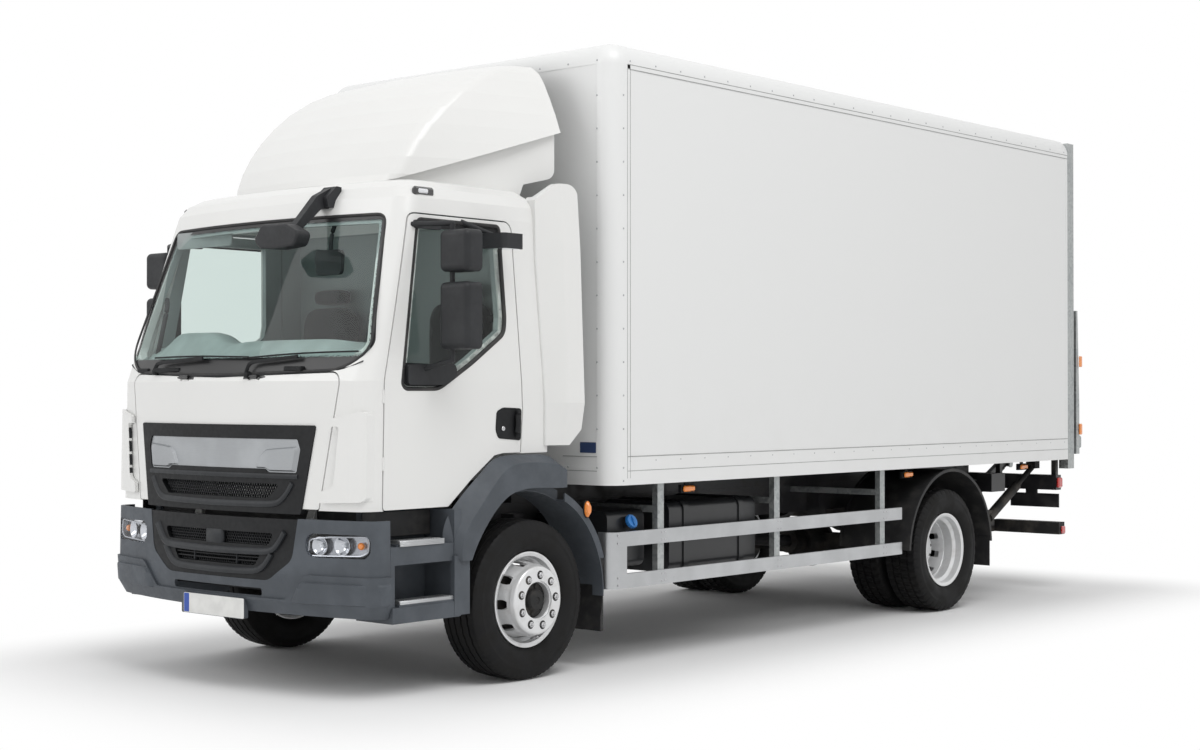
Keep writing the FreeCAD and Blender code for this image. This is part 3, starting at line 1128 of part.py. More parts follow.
def box_panels():
    """Roof, front wall with its corner posts, and two side panels with bottom rails."""
    shell = box_shell()
    roof = shell.common(box(-2000, 2000, 0, 9000, BOX_COVE_Z, 5000))
    low = shell.common(box(-2000, 2000, 0, 9000, 0, BOX_COVE_Z))
    split = BOX_FRONT + BOX_CORNER_R + 5
    front = low.common(box(-2000, 2000, 0, split, 0, 5000))
    sides = []
    for s in (-1, 1):
        side = low.common(box(*sorted((0, s * 2000)), split, 9000, 0, 5000))
        rail = box(*sorted((s * (BOX_HALF_W - BOX_WALL - 5), s * BOX_HALF_W)), split, BOX_REAR, BOX_BOTTOM,
                   BOX_BOTTOM + BOX_RAIL_H)
        face = box(*sorted((s * (BOX_HALF_W - SKIN_SET), s * BOX_HALF_W)), split, BOX_REAR,
                   BOX_BOTTOM + BOX_RAIL_H, BOX_COVE_Z)
        sides.append(side.fuse(rail).removeSplitter().cut(face))
    post = BOX_HALF_W - BOX_CORNER_R - 5
    front = front.cut(box(-post, post, BOX_FRONT, BOX_FRONT + SKIN_SET, BOX_BOTTOM + BOX_RAIL_H,
                          BOX_COVE_Z))
    return roof, front, sides[1], sides[0]


def rear_frame():
    y0 = BOX_REAR
    y1 = REAR_FACE
    w = BOX_HALF_W
    parts = []
    for s in (-1, 1):
        parts.append(box(*sorted((s * w, s * (w - REAR_FRAME_W))), y0, y1, REAR_FRAME_FOOT_Z,
                         BOX_TOP - 30))
    parts.append(box(-w, w, y0, y1, BOX_TOP - 190, BOX_TOP - 30))
    parts.append(box(-w, w, y0, y1, BOX_BOTTOM, FLOOR_TOP))
    return join(parts)


def roller_shutter():
    """Closed roller shutter: hinged slats with a groove between each pair."""
    z = FLOOR_TOP + 3
    top = BOX_TOP - 195
    slat = 100.0
    rows = [(BOX_REAR + 40, z, 0)]
    edge = [(BOX_REAR + 65, z, 0)]
    while z + slat < top - 10:
        z += slat
        edge += [(BOX_REAR + 65, z - 4, 0), (BOX_REAR + 59, z, 0), (BOX_REAR + 65, z + 4, 0)]
    edge.append((BOX_REAR + 65, top, 0))
    rows = rows + edge + [(BOX_REAR + 40, top, 0)]
    w = BOX_HALF_W - REAR_FRAME_W - SEAT_GAP
    return along_x(rows, -w, w)


# ---------------------------------------------------------------- tail lift and rear bars
def split_bar(y0, y1, z0, z1):
    """Bar across the rear, open where the lift arms pass."""
    bar = box(-BAR_HALF_W, BAR_HALF_W, y0, y1, z0, z1)
    a = LIFT_ARM_X - LIFT_ARM_T / 2 - SLOT_GAP
    b = LIFT_ARM_X + LIFT_ARM_T / 2 + SLOT_GAP
    for slot in both_sides(box(a, b, y0 - 1, y1 + 1, z0 - 1, z1 + 1)):
        bar = bar.cut(slot)
    return bar


def lift_frame():
    """Cross tube and cheek plates that carry the arms, the under-run bar and two raking stays."""
    py, pz = LIFT_PIVOT
    slot_in = LIFT_ARM_X - LIFT_ARM_T / 2 - SLOT_GAP
    slot_out = LIFT_ARM_X + LIFT_ARM_T / 2 + SLOT_GAP
    tube_y = py - 150
    y0, y1, z0, z1 = UNDERRUN_ROWS
    parts = [split_bar(*UNDERRUN_ROWS), box(-1020, 1020, tube_y - 60, tube_y + 60, pz - 60, pz + 60)]
    cheek = [(tube_y - 60, pz - 150, 0), (py + 50, pz - 150, 30), (py + 300, z0, 0), (y0 + 1, z0, 0),
             (y0 + 1, z1, 0),
             (py + 300, z1, 0), (py + 50, pz + 60, 40), (tube_y - 60, pz + 60, 0)]
    for s in (-1, 1):
        for x in (slot_in - LIFT_PLATE_T, slot_out):
            parts.append(along_x(cheek, *sorted((s * x, s * (x + LIFT_PLATE_T)))))
        parts.append(box(*sorted((s * (RAIL_X + SEAT_GAP), s * (RAIL_X + 25))), tube_y - 60,
                         tube_y + 60, pz - 60,
                         RAIL_TOP - 30))
        foot, head = (s * 1000, tube_y, pz), (s * 1000, BOX_REAR - 120, BOX_BOTTOM - 60)
        middle = tuple(a + (b - a) * 0.62 for a, b in zip(foot, head))
        parts += [rod(foot, middle, 38), rod(middle, head, 22)]
        parts.append(box(*sorted((s * 960, s * 1040)), BOX_REAR - 160, BOX_REAR - 80, BOX_BOTTOM - 75,
                         BOX_BOTTOM - SEAT_GAP))
        for drop in (0, LIFT_LINK_DROP):
            parts.append(rod((s * (slot_in - 30), py, pz - drop), (s * (slot_out + 30), py, pz - drop),
                             PIN_R))
    return join(parts)


def bar_between(p, q, radius, thickness, x):
    """Flat link with round ends between two (y, z) points."""
    x0, x1 = x - thickness / 2, x + thickness / 2
    dy, dz = q[0] - p[0], q[1] - p[1]
    length = math.hypot(dy, dz)
    ny, nz = -dz / length * radius, dy / length * radius
    rows = [(p[0] + ny, p[1] + nz, 0), (q[0] + ny, q[1] + nz, 0), (q[0] - ny, q[1] - nz, 0),
            (p[0] - ny, p[1] - nz, 0)]
    return join([along_x(rows, x0, x1), rod((x0, *p), (x1, *p), radius), rod((x0, *q), (x1, *q), radius)])


def lift_arms():
    arms = []
    for x in (-LIFT_ARM_X, LIFT_ARM_X):
        arm = bar_between(LIFT_PIVOT, LIFT_HEEL, LIFT_ARM_R, LIFT_ARM_T, x)
        for p in (LIFT_PIVOT, LIFT_HEEL):
            arm = arm.cut(rod((x - 50, *p), (x + 50, *p), PIN_R + PIN_GAP))
        arms.append(arm)
    return arms


def link_points():
    py, pz = LIFT_PIVOT
    hy, hz = LIFT_HEEL
    return (py, pz - LIFT_LINK_DROP), (hy, hz - LIFT_LINK_DROP)


def lift_struts():
    """Tilt rams under the arms: rod at the frame, barrel and open eye at the platform."""
    p, q = link_points()
    out = []
    for x in (-LIFT_ARM_X, LIFT_ARM_X):
        neck, far = [tuple(a + (b - a) * t for a, b in zip(p, q)) for t in (0.25, 0.93)]
        parts = [rod((x, *p), (x, *neck), 9), rod((x, *neck), (x, *far), 15), rod((x, *far), (x, *q), 11)]
        parts += [rod((x - 18, *end), (x + 18, *end), 22) for end in (p, q)]
        strut = join(parts)
        strut = strut.cut(rod((x - 50, *p), (x + 50, *p), PIN_R + PIN_GAP))
        strut = strut.cut(rod((x - 50, *q), (x + 50, *q), PIN_R + 3))
        out.append(strut)
    return out


def lift_knees():
    """Brackets at the arm ends that stay upright; the platform hinges on them."""
    hy, hz = LIFT_HEEL
    foot = hz - LIFT_LINK_DROP - LIFT_ARM_R
    side = [(hy - LIFT_ARM_R, hz + LIFT_ARM_R, LIFT_ARM_R - 1),
            (hy + LIFT_ARM_R, hz + LIFT_ARM_R, LIFT_ARM_R - 1),
            (hy + LIFT_ARM_R, foot, LIFT_ARM_R - 1), (hy - LIFT_ARM_R, foot, LIFT_ARM_R - 1)]
    out = []
    for x in (-LIFT_ARM_X, LIFT_ARM_X):
        pieces = []
        for off in (-1, 1):
            a = x + off * (LIFT_ARM_T / 2 + 6)
            pieces.append(along_x(side, *sorted((a, a + off * 14))))
        pieces.append(rod((x - 62, hy, hz), (x + 62, hy, hz), PIN_R))
        pieces.append(rod((x - 40, hy, hz - LIFT_LINK_DROP), (x + 40, hy, hz - LIFT_LINK_DROP), PIN_R))
        out.append(join(pieces))
    return out


def lift_platform():
    """Platform stowed upright: a tapered deck, hinge ears and heel rollers."""
    hy, hz = LIFT_HEEL
    face = hy - DECK_SET
    back = face + PLATFORM_T
    rows = [(face, DECK_BOTTOM_Z, 0), (back, DECK_BOTTOM_Z, 0), (back, DECK_BOTTOM_Z + 400, 0),
            (face + PLATFORM_TIP_T, DECK_TOP_Z, 0), (face, DECK_TOP_Z, 0)]
    parts = [along_x(rows, -BOX_HALF_W, BOX_HALF_W)]
    ear = [(back - 1, DECK_BOTTOM_Z, 0), (hy - LIFT_ARM_R, hz - LIFT_ARM_R, LIFT_ARM_R - 1),
           (hy + LIFT_ARM_R, hz - LIFT_ARM_R, LIFT_ARM_R - 1), (hy + LIFT_ARM_R, hz + 60, 20),
           (back - 1, hz + 190, 0)]
    for x in (-LIFT_ARM_X, LIFT_ARM_X):
        for off in (-1, 1):
            a = x + off * (LIFT_ARM_T / 2 + 26)
            parts.append(along_x(ear, *sorted((a, a + off * LIFT_PLATE_T))))
    # the deck's lower edge is notched so that it stays clear of the arms when they are down
    notch = LIFT_ARM_T / 2 + SLOT_GAP
    deck = parts[0]
    for x in (-LIFT_ARM_X, LIFT_ARM_X):
        deck = deck.cut(box(x - notch, x + notch, face - 10, back + 10, DECK_BOTTOM_Z - 10,
                            DECK_BOTTOM_Z + 60))
    parts[0] = deck
    roller = [(back - 1, 1140, 0), (ROLLER_REAR, 1150, 20), (ROLLER_REAR, 1240, 20), (back - 1, 1260, 0)]
    parts += both_sides(along_x(roller, BOX_HALF_W - 110, BOX_HALF_W - 20))
    body = join(parts)
    for s in (-1, 1):
        body = body.cut(rod((s * (LIFT_ARM_X - 90), hy, hz), (s * (LIFT_ARM_X + 90), hy, hz),
                            PIN_R + PIN_GAP))
    return body


def rear_lamp_bar():
    """Lamp carrier with its brackets and the number plate holder under it."""
    y0, y1, z0, z1 = LAMP_BAR_ROWS
    parts = [split_bar(*LAMP_BAR_ROWS)]
    for s in (-1, 1):
        parts.append(box(*sorted((s * (RAIL_X - 85), s * (RAIL_X - 35))), RAIL_REAR + SEAT_GAP, y0 + 1,
                         z0 + 5,
                         z1 - 35))
        for x in (640, 1140):
            parts.append(box(*sorted((s * x, s * (x + 40))), y0 + 35, y1 - 10, z1 - 1,
                             BOX_BOTTOM - SEAT_GAP))
    parts += [box(760, 1190, y1 - 20, y1 - 10, 671, 782), box(900, 1000, y1 - 26, y1 - 10, 775, z0 + 1)]
    return join(parts)


# ---------------------------------------------------------------- output
def build():
    keep("chassis_frame", chassis_frame())
    keep("engine_block", engine_block())
    keep("front_axle", front_axle())
    axle, shaft = rear_axle()
    keep("rear_axle", axle)
    keep("propshaft", shaft)
    keep("leaf_springs", *leaf_springs())
    keep("fuel_tanks", *fuel_tanks())
    keep("side_boxes", *side_boxes())
    keep("bumper", bumper())
    keep("lower_grille", lower_grille())
    keep("headlamps", *headlamps())
    keep("step_wells", *step_wells())
    keep("front_mudflaps", *front_mudflaps())
    keep("side_guards", *both_sides(side_guard()))
    posts = guard_posts()
    keep("guard_posts", *(posts + [other_side(post) for post in posts]))
    keep("rear_mudguards", *both_sides(rear_mudguard()))
    keep("rear_lamp_bar", rear_lamp_bar())
    keep("lift_frame", lift_frame())
    keep("box_floor", box_floor())
    roof, front, left, right = box_panels()
    keep("box_roof", roof)
    keep("box_front_wall", front)
    keep("box_side_left", left)
    keep("box_side_right", right)
    keep("rear_frame", rear_frame())
    keep("roller_shutter", roller_shutter())

    keep("cab_body", cab_body())
    keep("cab_roof", cab_roof())
    keep("corner_panels", *corner_panels())
    keep("windscreen", windscreen())
    wheel, column = placed_wheel()
    keep("dashboard", dashboard().fuse(column))
    keep("steering_wheel", wheel)
    keep("seats", *(seat(-560) + seat(560)))
    keep("roof_deflector", roof_deflector())
    keep("side_extenders", *both_sides(side_extender()))
    keep("wipers", *wipers())
    keep("front_mirror", front_mirror())
    keep("front_panel", front_panel())
    keep("grille", grille())
    keep("grille_badge", grille_badge())

    for side, name in ((1, "left"), (-1, "right")):
        keep("door_" + name, door_leaf(side))
        keep("door_glass_" + name, door_glass(side))
        keep("mirrors_" + name, mirrors(side))
        keep("knuckle_" + name, hub_knuckle(side))
        keep("front_rim_" + name, front_rim(side))
        keep("front_tyre_" + name, *tyres(side, [FRONT_WHEEL_X], 0))
        keep("rear_rims_" + name, rear_rims(side))
        keep("rear_tyres_" + name, *tyres(side, [REAR_OUTER_X, REAR_OUTER_X - TWIN_SPACING], WHEELBASE))

    keep("lift_arms", *lift_arms())
    keep("lift_struts", *lift_struts())
    keep("lift_knees", *lift_knees())
    keep("lift_platform", lift_platform())


build()
os.makedirs("parts", exist_ok=True)
for node_name, node_shape in NODES.items():
    node_shape.exportStep("parts/" + node_name + ".step")
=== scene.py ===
"""Box truck with a tail lift: the finish of every surface, the small parts, the camera and the light."""

import itertools
import json
import math

import bmesh
import bpy
import numpy as np
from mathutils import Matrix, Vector


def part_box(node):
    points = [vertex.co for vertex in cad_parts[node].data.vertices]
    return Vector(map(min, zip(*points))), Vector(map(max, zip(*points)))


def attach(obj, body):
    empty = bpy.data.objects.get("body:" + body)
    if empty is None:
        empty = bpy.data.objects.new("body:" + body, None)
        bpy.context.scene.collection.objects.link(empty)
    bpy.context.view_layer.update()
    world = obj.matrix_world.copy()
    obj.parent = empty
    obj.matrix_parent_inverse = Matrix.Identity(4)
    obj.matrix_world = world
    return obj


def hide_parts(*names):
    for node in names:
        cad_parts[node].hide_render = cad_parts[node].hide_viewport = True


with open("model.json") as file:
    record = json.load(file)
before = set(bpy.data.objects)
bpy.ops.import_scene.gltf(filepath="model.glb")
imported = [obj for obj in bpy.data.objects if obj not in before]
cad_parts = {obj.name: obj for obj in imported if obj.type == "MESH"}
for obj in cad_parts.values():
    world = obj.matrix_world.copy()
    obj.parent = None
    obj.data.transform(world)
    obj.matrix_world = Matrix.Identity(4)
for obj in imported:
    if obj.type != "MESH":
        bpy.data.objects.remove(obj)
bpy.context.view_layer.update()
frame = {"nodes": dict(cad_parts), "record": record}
NODES = frame["nodes"]


# ---------------------------------------------------------------- places taken from the frame
def middle(node):
    """Middle of a node's box."""
    low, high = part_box(node)
    return (np.array(low) + np.array(high)) / 2


SIDES = (("left", 1), ("right", -1))
FRONT_X, AXLE_Y, AXLE_Z = middle("front_tyre_left")
REAR_Y = middle("rear_tyres_left")[1]
TYRE_R = float(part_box("front_tyre_left")[1][2]) - AXLE_Z
BOX_X, BOX_REAR_Y, COVE_Z = np.array(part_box("box_side_left")[1])
BOX_FRONT_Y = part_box("box_front_wall")[0][1]

NOSE_R = 4.0
CROWN_Z, CROWN_Y = (0.9, 1.66, 2.56), (-1.302, -1.288, -0.975)
LID_HINGE_Y, LID_HINGE_Z = AXLE_Y - 1.278, 1.688
KNUCKLE_R, KNUCKLE_X, KNUCKLE_HALF = 0.0175, 0.30, 0.085


def nose_y(x, z, depth=0.0):
    """Front of the cab at (x, z), pushed in by depth: an arc in plan, whose crown leans back above the
    windscreen's foot."""
    crown = np.interp(z, CROWN_Z, CROWN_Y)
    return AXLE_Y + crown + NOSE_R - np.sqrt(NOSE_R**2 - np.square(x)) + depth


# ---------------------------------------------------------------- shader kit
class Wire:
    """A socket of a material's nodes; arithmetic on it adds Math nodes, in either order."""

    def __init__(self, look, socket):
        self.look = look
        self.socket = socket

    def math(self, operation, *values):
        """A Math node of one operation on values or wires."""
        return self.look.node("Math", {"operation": operation}, dict(enumerate(values)))

    def __add__(self, other):
        return self.math("ADD", self, other)

    def __radd__(self, other):
        return self.math("ADD", other, self)

    def __sub__(self, other):
        return self.math("SUBTRACT", self, other)

    def __rsub__(self, other):
        return self.math("SUBTRACT", other, self)

    def __mul__(self, other):
        return self.math("MULTIPLY", self, other)

    def __rmul__(self, other):
        return self.math("MULTIPLY", other, self)

    def __abs__(self):
        return self.math("ABSOLUTE", self)

    def least(self, other):
        """The smaller of two values."""
        return self.math("MINIMUM", self, other)

    def most(self, other):
        """The larger of two values."""
        return self.math("MAXIMUM", self, other)

    def sine(self):
        """Sine of the value, in radians."""
        return self.math("SINE", self)

    def root(self):
        """Square root of the value."""
        return self.math("SQRT", self)

    def rise(self, start, end, low=0.0, high=1.0):
        """Smooth step from low to high as the value goes from start to end."""
        settings = {"interpolation_type": "SMOOTHSTEP"}
        return self.look.node("MapRange", settings, {0: self, 1: start, 2: end, 3: low, 4: high})


class Look:
    """A Principled material under construction."""

    def __init__(self, name, color, **values):
        self.material = bpy.data.materials.new(name)
        self.material.use_nodes = True
        self.tree = self.material.node_tree
        self.shader = self.tree.nodes["Principled BSDF"]
        self.height = None
        self.set("Base Color", (*color, 1.0))
        for socket, value in values.items():
            self.set(socket.replace("_", " ").title(), value)
        self.material.diffuse_color = (*color, 1.0)

    def feed(self, socket, value):
        """Links a wire to a socket, or writes a plain value there."""
        if isinstance(value, Wire):
            self.tree.links.new(value.socket, socket)
        else:
            socket.default_value = value

    def set(self, socket, value):
        """Feeds one socket of the Principled shader."""
        self.feed(self.shader.inputs[socket], value)
        return self

    def node(self, kind, settings=None, inputs=None, output=0):
        """A new shader node: settings first, then the values or links of its sockets."""
        made = self.tree.nodes.new("ShaderNode" + kind)
        for key, value in (settings or {}).items():
            setattr(made, key, value)
        for socket, value in (inputs or {}).items():
            self.feed(made.inputs[socket], value)
        return Wire(self, made.outputs[output])

    def place(self):
        """Object coordinates, which are metres in the frame."""
        return self.node("TexCoord", output="Object")

    def xyz(self):
        """Object coordinates as three wires."""
        split = self.node("SeparateXYZ", None, {0: self.place()})
        return [Wire(self, o) for o in split.socket.node.outputs]

    def noise(self, scale, detail=3.0, stretch=(1, 1, 1)):
        """Cloudy noise of so many lumps a metre, drawn out where stretch is small."""
        place = self.node("VectorMath", {"operation": "MULTIPLY"}, {0: self.place(), 1: stretch})
        return self.node("TexNoise", None, {"Vector": place, "Scale": scale, "Detail": detail})

    def cells(self, scale, feature="F1"):
        """Distance pattern of irregular cells, so many a metre."""
        return self.node("TexVoronoi", {"feature": feature}, {"Vector": self.place(), "Scale": scale})

    def blend(self, factor, first, second):
        """Colour mixed from first to second."""
        settings = {"data_type": "RGBA"}
        colors = [c if isinstance(c, Wire) else (*c, 1.0) for c in (first, second)]
        return self.node("Mix", settings, {0: factor, 6: colors[0], 7: colors[1]}, output=2)

    def bump(self, height, distance, strength=1.0):
        """Adds a bump in metres on top of any made before."""
        inputs = {"Height": height, "Distance": distance, "Strength": strength}
        if self.height:
            inputs["Normal"] = self.height
        self.height = self.node("Bump", None, inputs)
        return self.set("Normal", self.height)

    def solid(self):
        """The Principled shader itself, as one input of a mix."""
        return Wire(self, self.shader.outputs[0])

    def show(self, shader):
        """Gives the material's output another shader than the Principled one."""
        self.feed(self.tree.nodes["Material Output"].inputs["Surface"], shader)

    def done(self):
        """The finished material."""
        return self.material


def shade(color, share, lift=0.0):
    """A colour made darker or lighter: each channel times share, plus lift, at most 1."""
    return tuple(min(1.0, c * share + lift) for c in color)


def cab_paint():
    """White gloss paint with the faint ripple of a sprayed panel. Behind the nose and between the side
    walls it gives way to the cabin's grey-green, and round the hinge line of the lifting panel to black
    knuckles."""
    color, cabin_grey, knuckle_black = (0.80, 0.80, 0.785), (0.33, 0.375, 0.375), (0.012, 0.012, 0.013)
    look = Look("cab white", color, roughness=0.38, coat_weight=0.4, coat_roughness=0.18)
    x, y, z = look.xyz()
    side = abs(x)
    lean = (z - CROWN_Z[1]).most(0.0).least(0.9) * 0.3478
    nose = lean + x * x * (0.5 / NOSE_R) + (AXLE_Y + CROWN_Y[1])
    corner = (side - 0.90).most(0.0) * 1.3
    wall = z.rise(1.75, 2.55, 1.036, 1.000)
    inside = (wall - side).rise(0.0, 0.006) * (y - nose - corner).rise(0.010, 0.014)
    inside = inside * y.rise(AXLE_Y + 0.20, AXLE_Y + 0.19) * z.rise(1.10, 1.12) * z.rise(2.575, 2.57)
    over, up = y - LID_HINGE_Y, z - LID_HINGE_Z
    barrel = (KNUCKLE_R**2 - over * over - up * up).rise(0.0, 0.00001)
    knuckle = barrel * (KNUCKLE_HALF - abs(side - KNUCKLE_X)).rise(0.0, 0.002)
    sprayed = look.blend(look.noise(1.6, 4.0).rise(0.3, 0.7), shade(color, 0.975), color)
    lined = look.blend(inside, sprayed, cabin_grey)
    look.set("Base Color", look.blend(knuckle, lined, knuckle_black))
    look.bump(look.noise(420.0, 2.0), 0.00006, 0.6)
    look.bump(look.noise(2.2, 1.0), 0.004, 0.12)
    return look.done()


def box_skin():
    """Satin white panel, slightly wavy, with dust towards the bottom rail."""
    color = (0.80, 0.805, 0.80)
    look = Look("box white", color, roughness=0.42, coat_weight=0.25, coat_roughness=0.25)
    height = look.xyz()[2]
    low = height.rise(1.9, 1.05) * look.noise(5.0, 5.0).rise(0.35, 0.75)
    look.set("Base Color", look.blend(low * 0.10, color, (0.66, 0.65, 0.63)))
    look.bump(look.noise(1.1, 1.0), 0.006, 0.25)
    look.bump(look.noise(300.0, 2.0), 0.00008, 0.4)
    return look.done()


def grained_plastic(name, color, roughness, grain=900.0):
    """Moulded plastic with a leather-like grain and slight fading in patches."""
    look = Look(name, color, roughness=roughness)
    tone = look.noise(6.0, 4.0).rise(0.35, 0.7)
    look.set("Base Color", look.blend(tone, color, shade(color, 1.25, 0.002)))
    look.set("Roughness", look.noise(40.0, 3.0).rise(0.2, 0.8, roughness - 0.06, roughness + 0.08))
    look.bump(look.cells(grain, "SMOOTH_F1"), 0.00012, 0.5)
    look.set("Specular IOR Level", 0.3)
    return look.done()


def chassis_paint():
    """Black chassis paint under road dust."""
    look = Look("chassis black", (0.022, 0.022, 0.024), roughness=0.5)
    dust = look.noise(9.0, 6.0).rise(0.45, 0.8) * 0.5
    look.set("Base Color", look.blend(dust, (0.018, 0.018, 0.02), (0.075, 0.07, 0.065)))
    look.set("Roughness", dust.rise(0.0, 0.5, 0.38, 0.8))
    look.bump(look.noise(120.0, 4.0), 0.0003, 0.4)
    return look.done()


def cast_metal():
    """Rough grey-black castings under a coat of road dust."""
    look = Look("cast iron", (0.03, 0.029, 0.028), roughness=0.7, metallic=0.3)
    dust = look.noise(7.0, 6.0).rise(0.4, 0.75)
    look.set("Base Color", look.blend(dust, (0.02, 0.02, 0.02), (0.085, 0.075, 0.065)))
    look.bump(look.noise(90.0, 5.0), 0.0008, 0.5)
    return look.done()


def galvanised():
    """Zinc with the flake pattern of hot dipping and white bloom."""
    look = Look("galvanised", (0.40, 0.42, 0.42), roughness=0.45, metallic=0.75)
    flake = look.cells(55.0)
    tone = look.node("SeparateColor", None, {0: Wire(look, flake.socket.node.outputs["Color"])})
    bloom = look.noise(6.0, 5.0).rise(0.4, 0.75)
    plain = look.blend(tone, (0.30, 0.32, 0.325), (0.47, 0.49, 0.485))
    look.set("Base Color", look.blend(bloom * 0.45, plain, (0.52, 0.53, 0.52)))
    look.set("Roughness", tone.rise(0.0, 1.0, 0.36, 0.55))
    look.bump(look.noise(60.0, 3.0), 0.0002, 0.4)
    return look.done()


def brushed(name, color, along=(1, 0.02, 1), roughness=0.34):
    """Extruded metal: fine draw lines along its length."""
    look = Look(name, color, roughness=roughness, metallic=0.85)
    lines = look.noise(380.0, 3.0, along)
    tone = look.noise(4.0, 4.0).rise(0.35, 0.7)
    look.set("Base Color", look.blend(tone, shade(color, 0.86), color))
    look.set("Roughness", lines.rise(0.2, 0.8, roughness - 0.07, roughness + 0.12))
    look.bump(lines, 0.00008, 0.5)
    return look.done()


def wheel_silver():
    """Silver wheel lacquer with brake dust in patches."""
    look = Look("wheel silver", (0.62, 0.625, 0.63), roughness=0.35, metallic=0.45)
    dust = look.noise(14.0, 6.0).rise(0.45, 0.8)
    look.set("Base Color", look.blend(dust * 0.35, (0.74, 0.745, 0.75), (0.44, 0.42, 0.40)))
    look.set("Roughness", dust.rise(0.0, 1.0, 0.3, 0.6))
    look.bump(look.noise(260.0, 3.0), 0.0001, 0.5)
    return look.done()


def tyre_rubber():
    """Tyre rubber, dusty in patches."""
    look = Look("tyre rubber", (0.009, 0.009, 0.0095), roughness=0.72)
    look.set("Specular IOR Level", 0.25)
    dust = look.noise(8.0, 6.0).rise(0.35, 0.75)
    look.set("Base Color", look.blend(dust, (0.0035, 0.0035, 0.004), (0.012, 0.0115, 0.011)))
    look.set("Roughness", dust.rise(0.0, 1.0, 0.62, 0.85))
    look.bump(look.noise(500.0, 3.0), 0.00015, 0.5)
    return look.done()


def soft_rubber():
    """Rubber of seals and sheets, greyed by dust in patches."""
    look = Look("black rubber", (0.013, 0.013, 0.014), roughness=0.62)
    dust = look.noise(11.0, 5.0).rise(0.4, 0.8)
    look.set("Base Color", look.blend(dust, (0.011, 0.011, 0.012), (0.04, 0.038, 0.036)))
    look.bump(look.noise(350.0, 3.0), 0.0002, 0.5)
    return look.done()


def pane(name, tint, edge=None):
    """Glass sheet: a tinted view through, a Fresnel share of reflection on its front, and an opaque black
    edge where edge is 1."""
    look = Look(name, (0.012, 0.012, 0.013), roughness=0.35)
    clear = look.node("BsdfTransparent", None, {"Color": (*tint, 1.0)})
    gloss = look.node("BsdfGlossy", None, {"Color": (1.0, 1.0, 1.0, 1.0), "Roughness": 0.02})
    front = 1 - look.node("NewGeometry", output="Backfacing")
    share = look.node("Fresnel", None, {"IOR": 1.5}) * 0.5 * front
    glass = look.node("MixShader", None, {0: share, 1: clear, 2: gloss})
    if edge is not None:
        glass = look.node("MixShader", None, {0: edge(look), 1: glass, 2: look.solid()})
    look.show(glass)
    return look.done()


def screen_edge(look):
    """Black printed border of the windscreen, widest along its foot, ending in a dotted fade: how far a
    place lies in from the glass's sides, top and foot, with the cells of a pattern added."""
    x, _, z = look.xyz()
    reach = 1.034 - (z - 1.822) * 0.179
    inward = ((reach - abs(x)) * 1.4).least((2.545 - z) * 1.4).least(z - 1.752)
    dots = look.cells(150.0).rise(0.1, 0.6, -0.006, 0.006)
    return (inward + dots).rise(0.042, 0.036)


THREAD_RATE, PRISM_RATE = 1400.0, 900.0


def fabric(name, color):
    """Woven seat cloth: the sines of two crossing sets of threads, multiplied, with a soft speckle."""
    look = Look(name, color, roughness=0.9, sheen_weight=0.3)
    x, y, z = look.xyz()
    warp = (x * THREAD_RATE).sine()
    weft = ((y + z) * THREAD_RATE).sine()
    speck = look.noise(160.0, 3.0).rise(0.35, 0.7)
    look.set("Base Color", look.blend(speck, color, shade(color, 1.25)))
    look.bump(warp * weft, 0.00002, 0.3)
    return look.done()


def flat_paint(name, color, roughness=0.4, **values):
    """Plain enamel or moulding with a slight unevenness."""
    look = Look(name, color, roughness=roughness, **values)
    look.set("Base Color", look.blend(look.noise(12.0, 4.0).rise(0.3, 0.7), shade(color, 0.88), color))
    look.bump(look.noise(250.0, 3.0), 0.0001, 0.4)
    return look.done()


def lens(name, color):
    """Moulded lamp lens: coloured, glossy, with fine prisms, a sine across times a sine up the surface."""
    look = Look(name, color, roughness=0.12, coat_weight=1.0, coat_roughness=0.03)
    x, y, z = look.xyz()
    prisms = ((x + y) * PRISM_RATE).sine() * (z * PRISM_RATE).sine()
    look.set("Base Color", look.blend(prisms.rise(-1.0, 1.0), color, shade(color, 1.5, 0.02)))
    look.bump(prisms, 0.0004, 0.5)
    return look.done()


PAINT = cab_paint()
BOX_WHITE = box_skin()
BUMPER_GREY = grained_plastic("bumper grey", (0.070, 0.079, 0.091), 0.52)
GRILLE_BLACK = grained_plastic("grille black", (0.0055, 0.006, 0.007), 0.58)
LIP_GREY = grained_plastic("grille lip grey", (0.020, 0.022, 0.025), 0.46)
MIRROR_BLACK = grained_plastic("mirror black", (0.02, 0.021, 0.023), 0.5, 1200.0)
TRIM_GREY = grained_plastic("cabin grey", (0.40, 0.455, 0.45), 0.6)
SILVER = brushed("silver panel", (0.40, 0.415, 0.43), (0.02, 1, 1), 0.40)
CHASSIS = chassis_paint()
IRON = cast_metal()
ZINC = galvanised()
ALUMINIUM = brushed("aluminium", (0.52, 0.53, 0.54))
WHEEL = wheel_silver()
TYRE = tyre_rubber()
RUBBER = soft_rubber()
SCREEN = pane("windscreen glass", (0.885, 0.927, 0.917), screen_edge)
WINDOW_GLASS = pane("door glass", (0.894, 0.922, 0.911))
LAMP_LENS = pane("lamp lens", (0.97, 0.98, 1.0))
CLOTH = fabric("seat cloth", (0.012, 0.0135, 0.015))
AMBER = lens("amber lens", (0.80, 0.20, 0.01))
RED = lens("red lens", (0.42, 0.01, 0.008))
CHROME = flat_paint("reflector chrome", (0.60, 0.61, 0.63), 0.10, metallic=1.0)
PLATE_WHITE = flat_paint("plate white", (0.78, 0.78, 0.76), 0.35)
PLATE_BLUE = flat_paint("plate blue", (0.02, 0.08, 0.42), 0.35)
SHUTTER = flat_paint("shutter white", (0.72, 0.73, 0.72), 0.4)
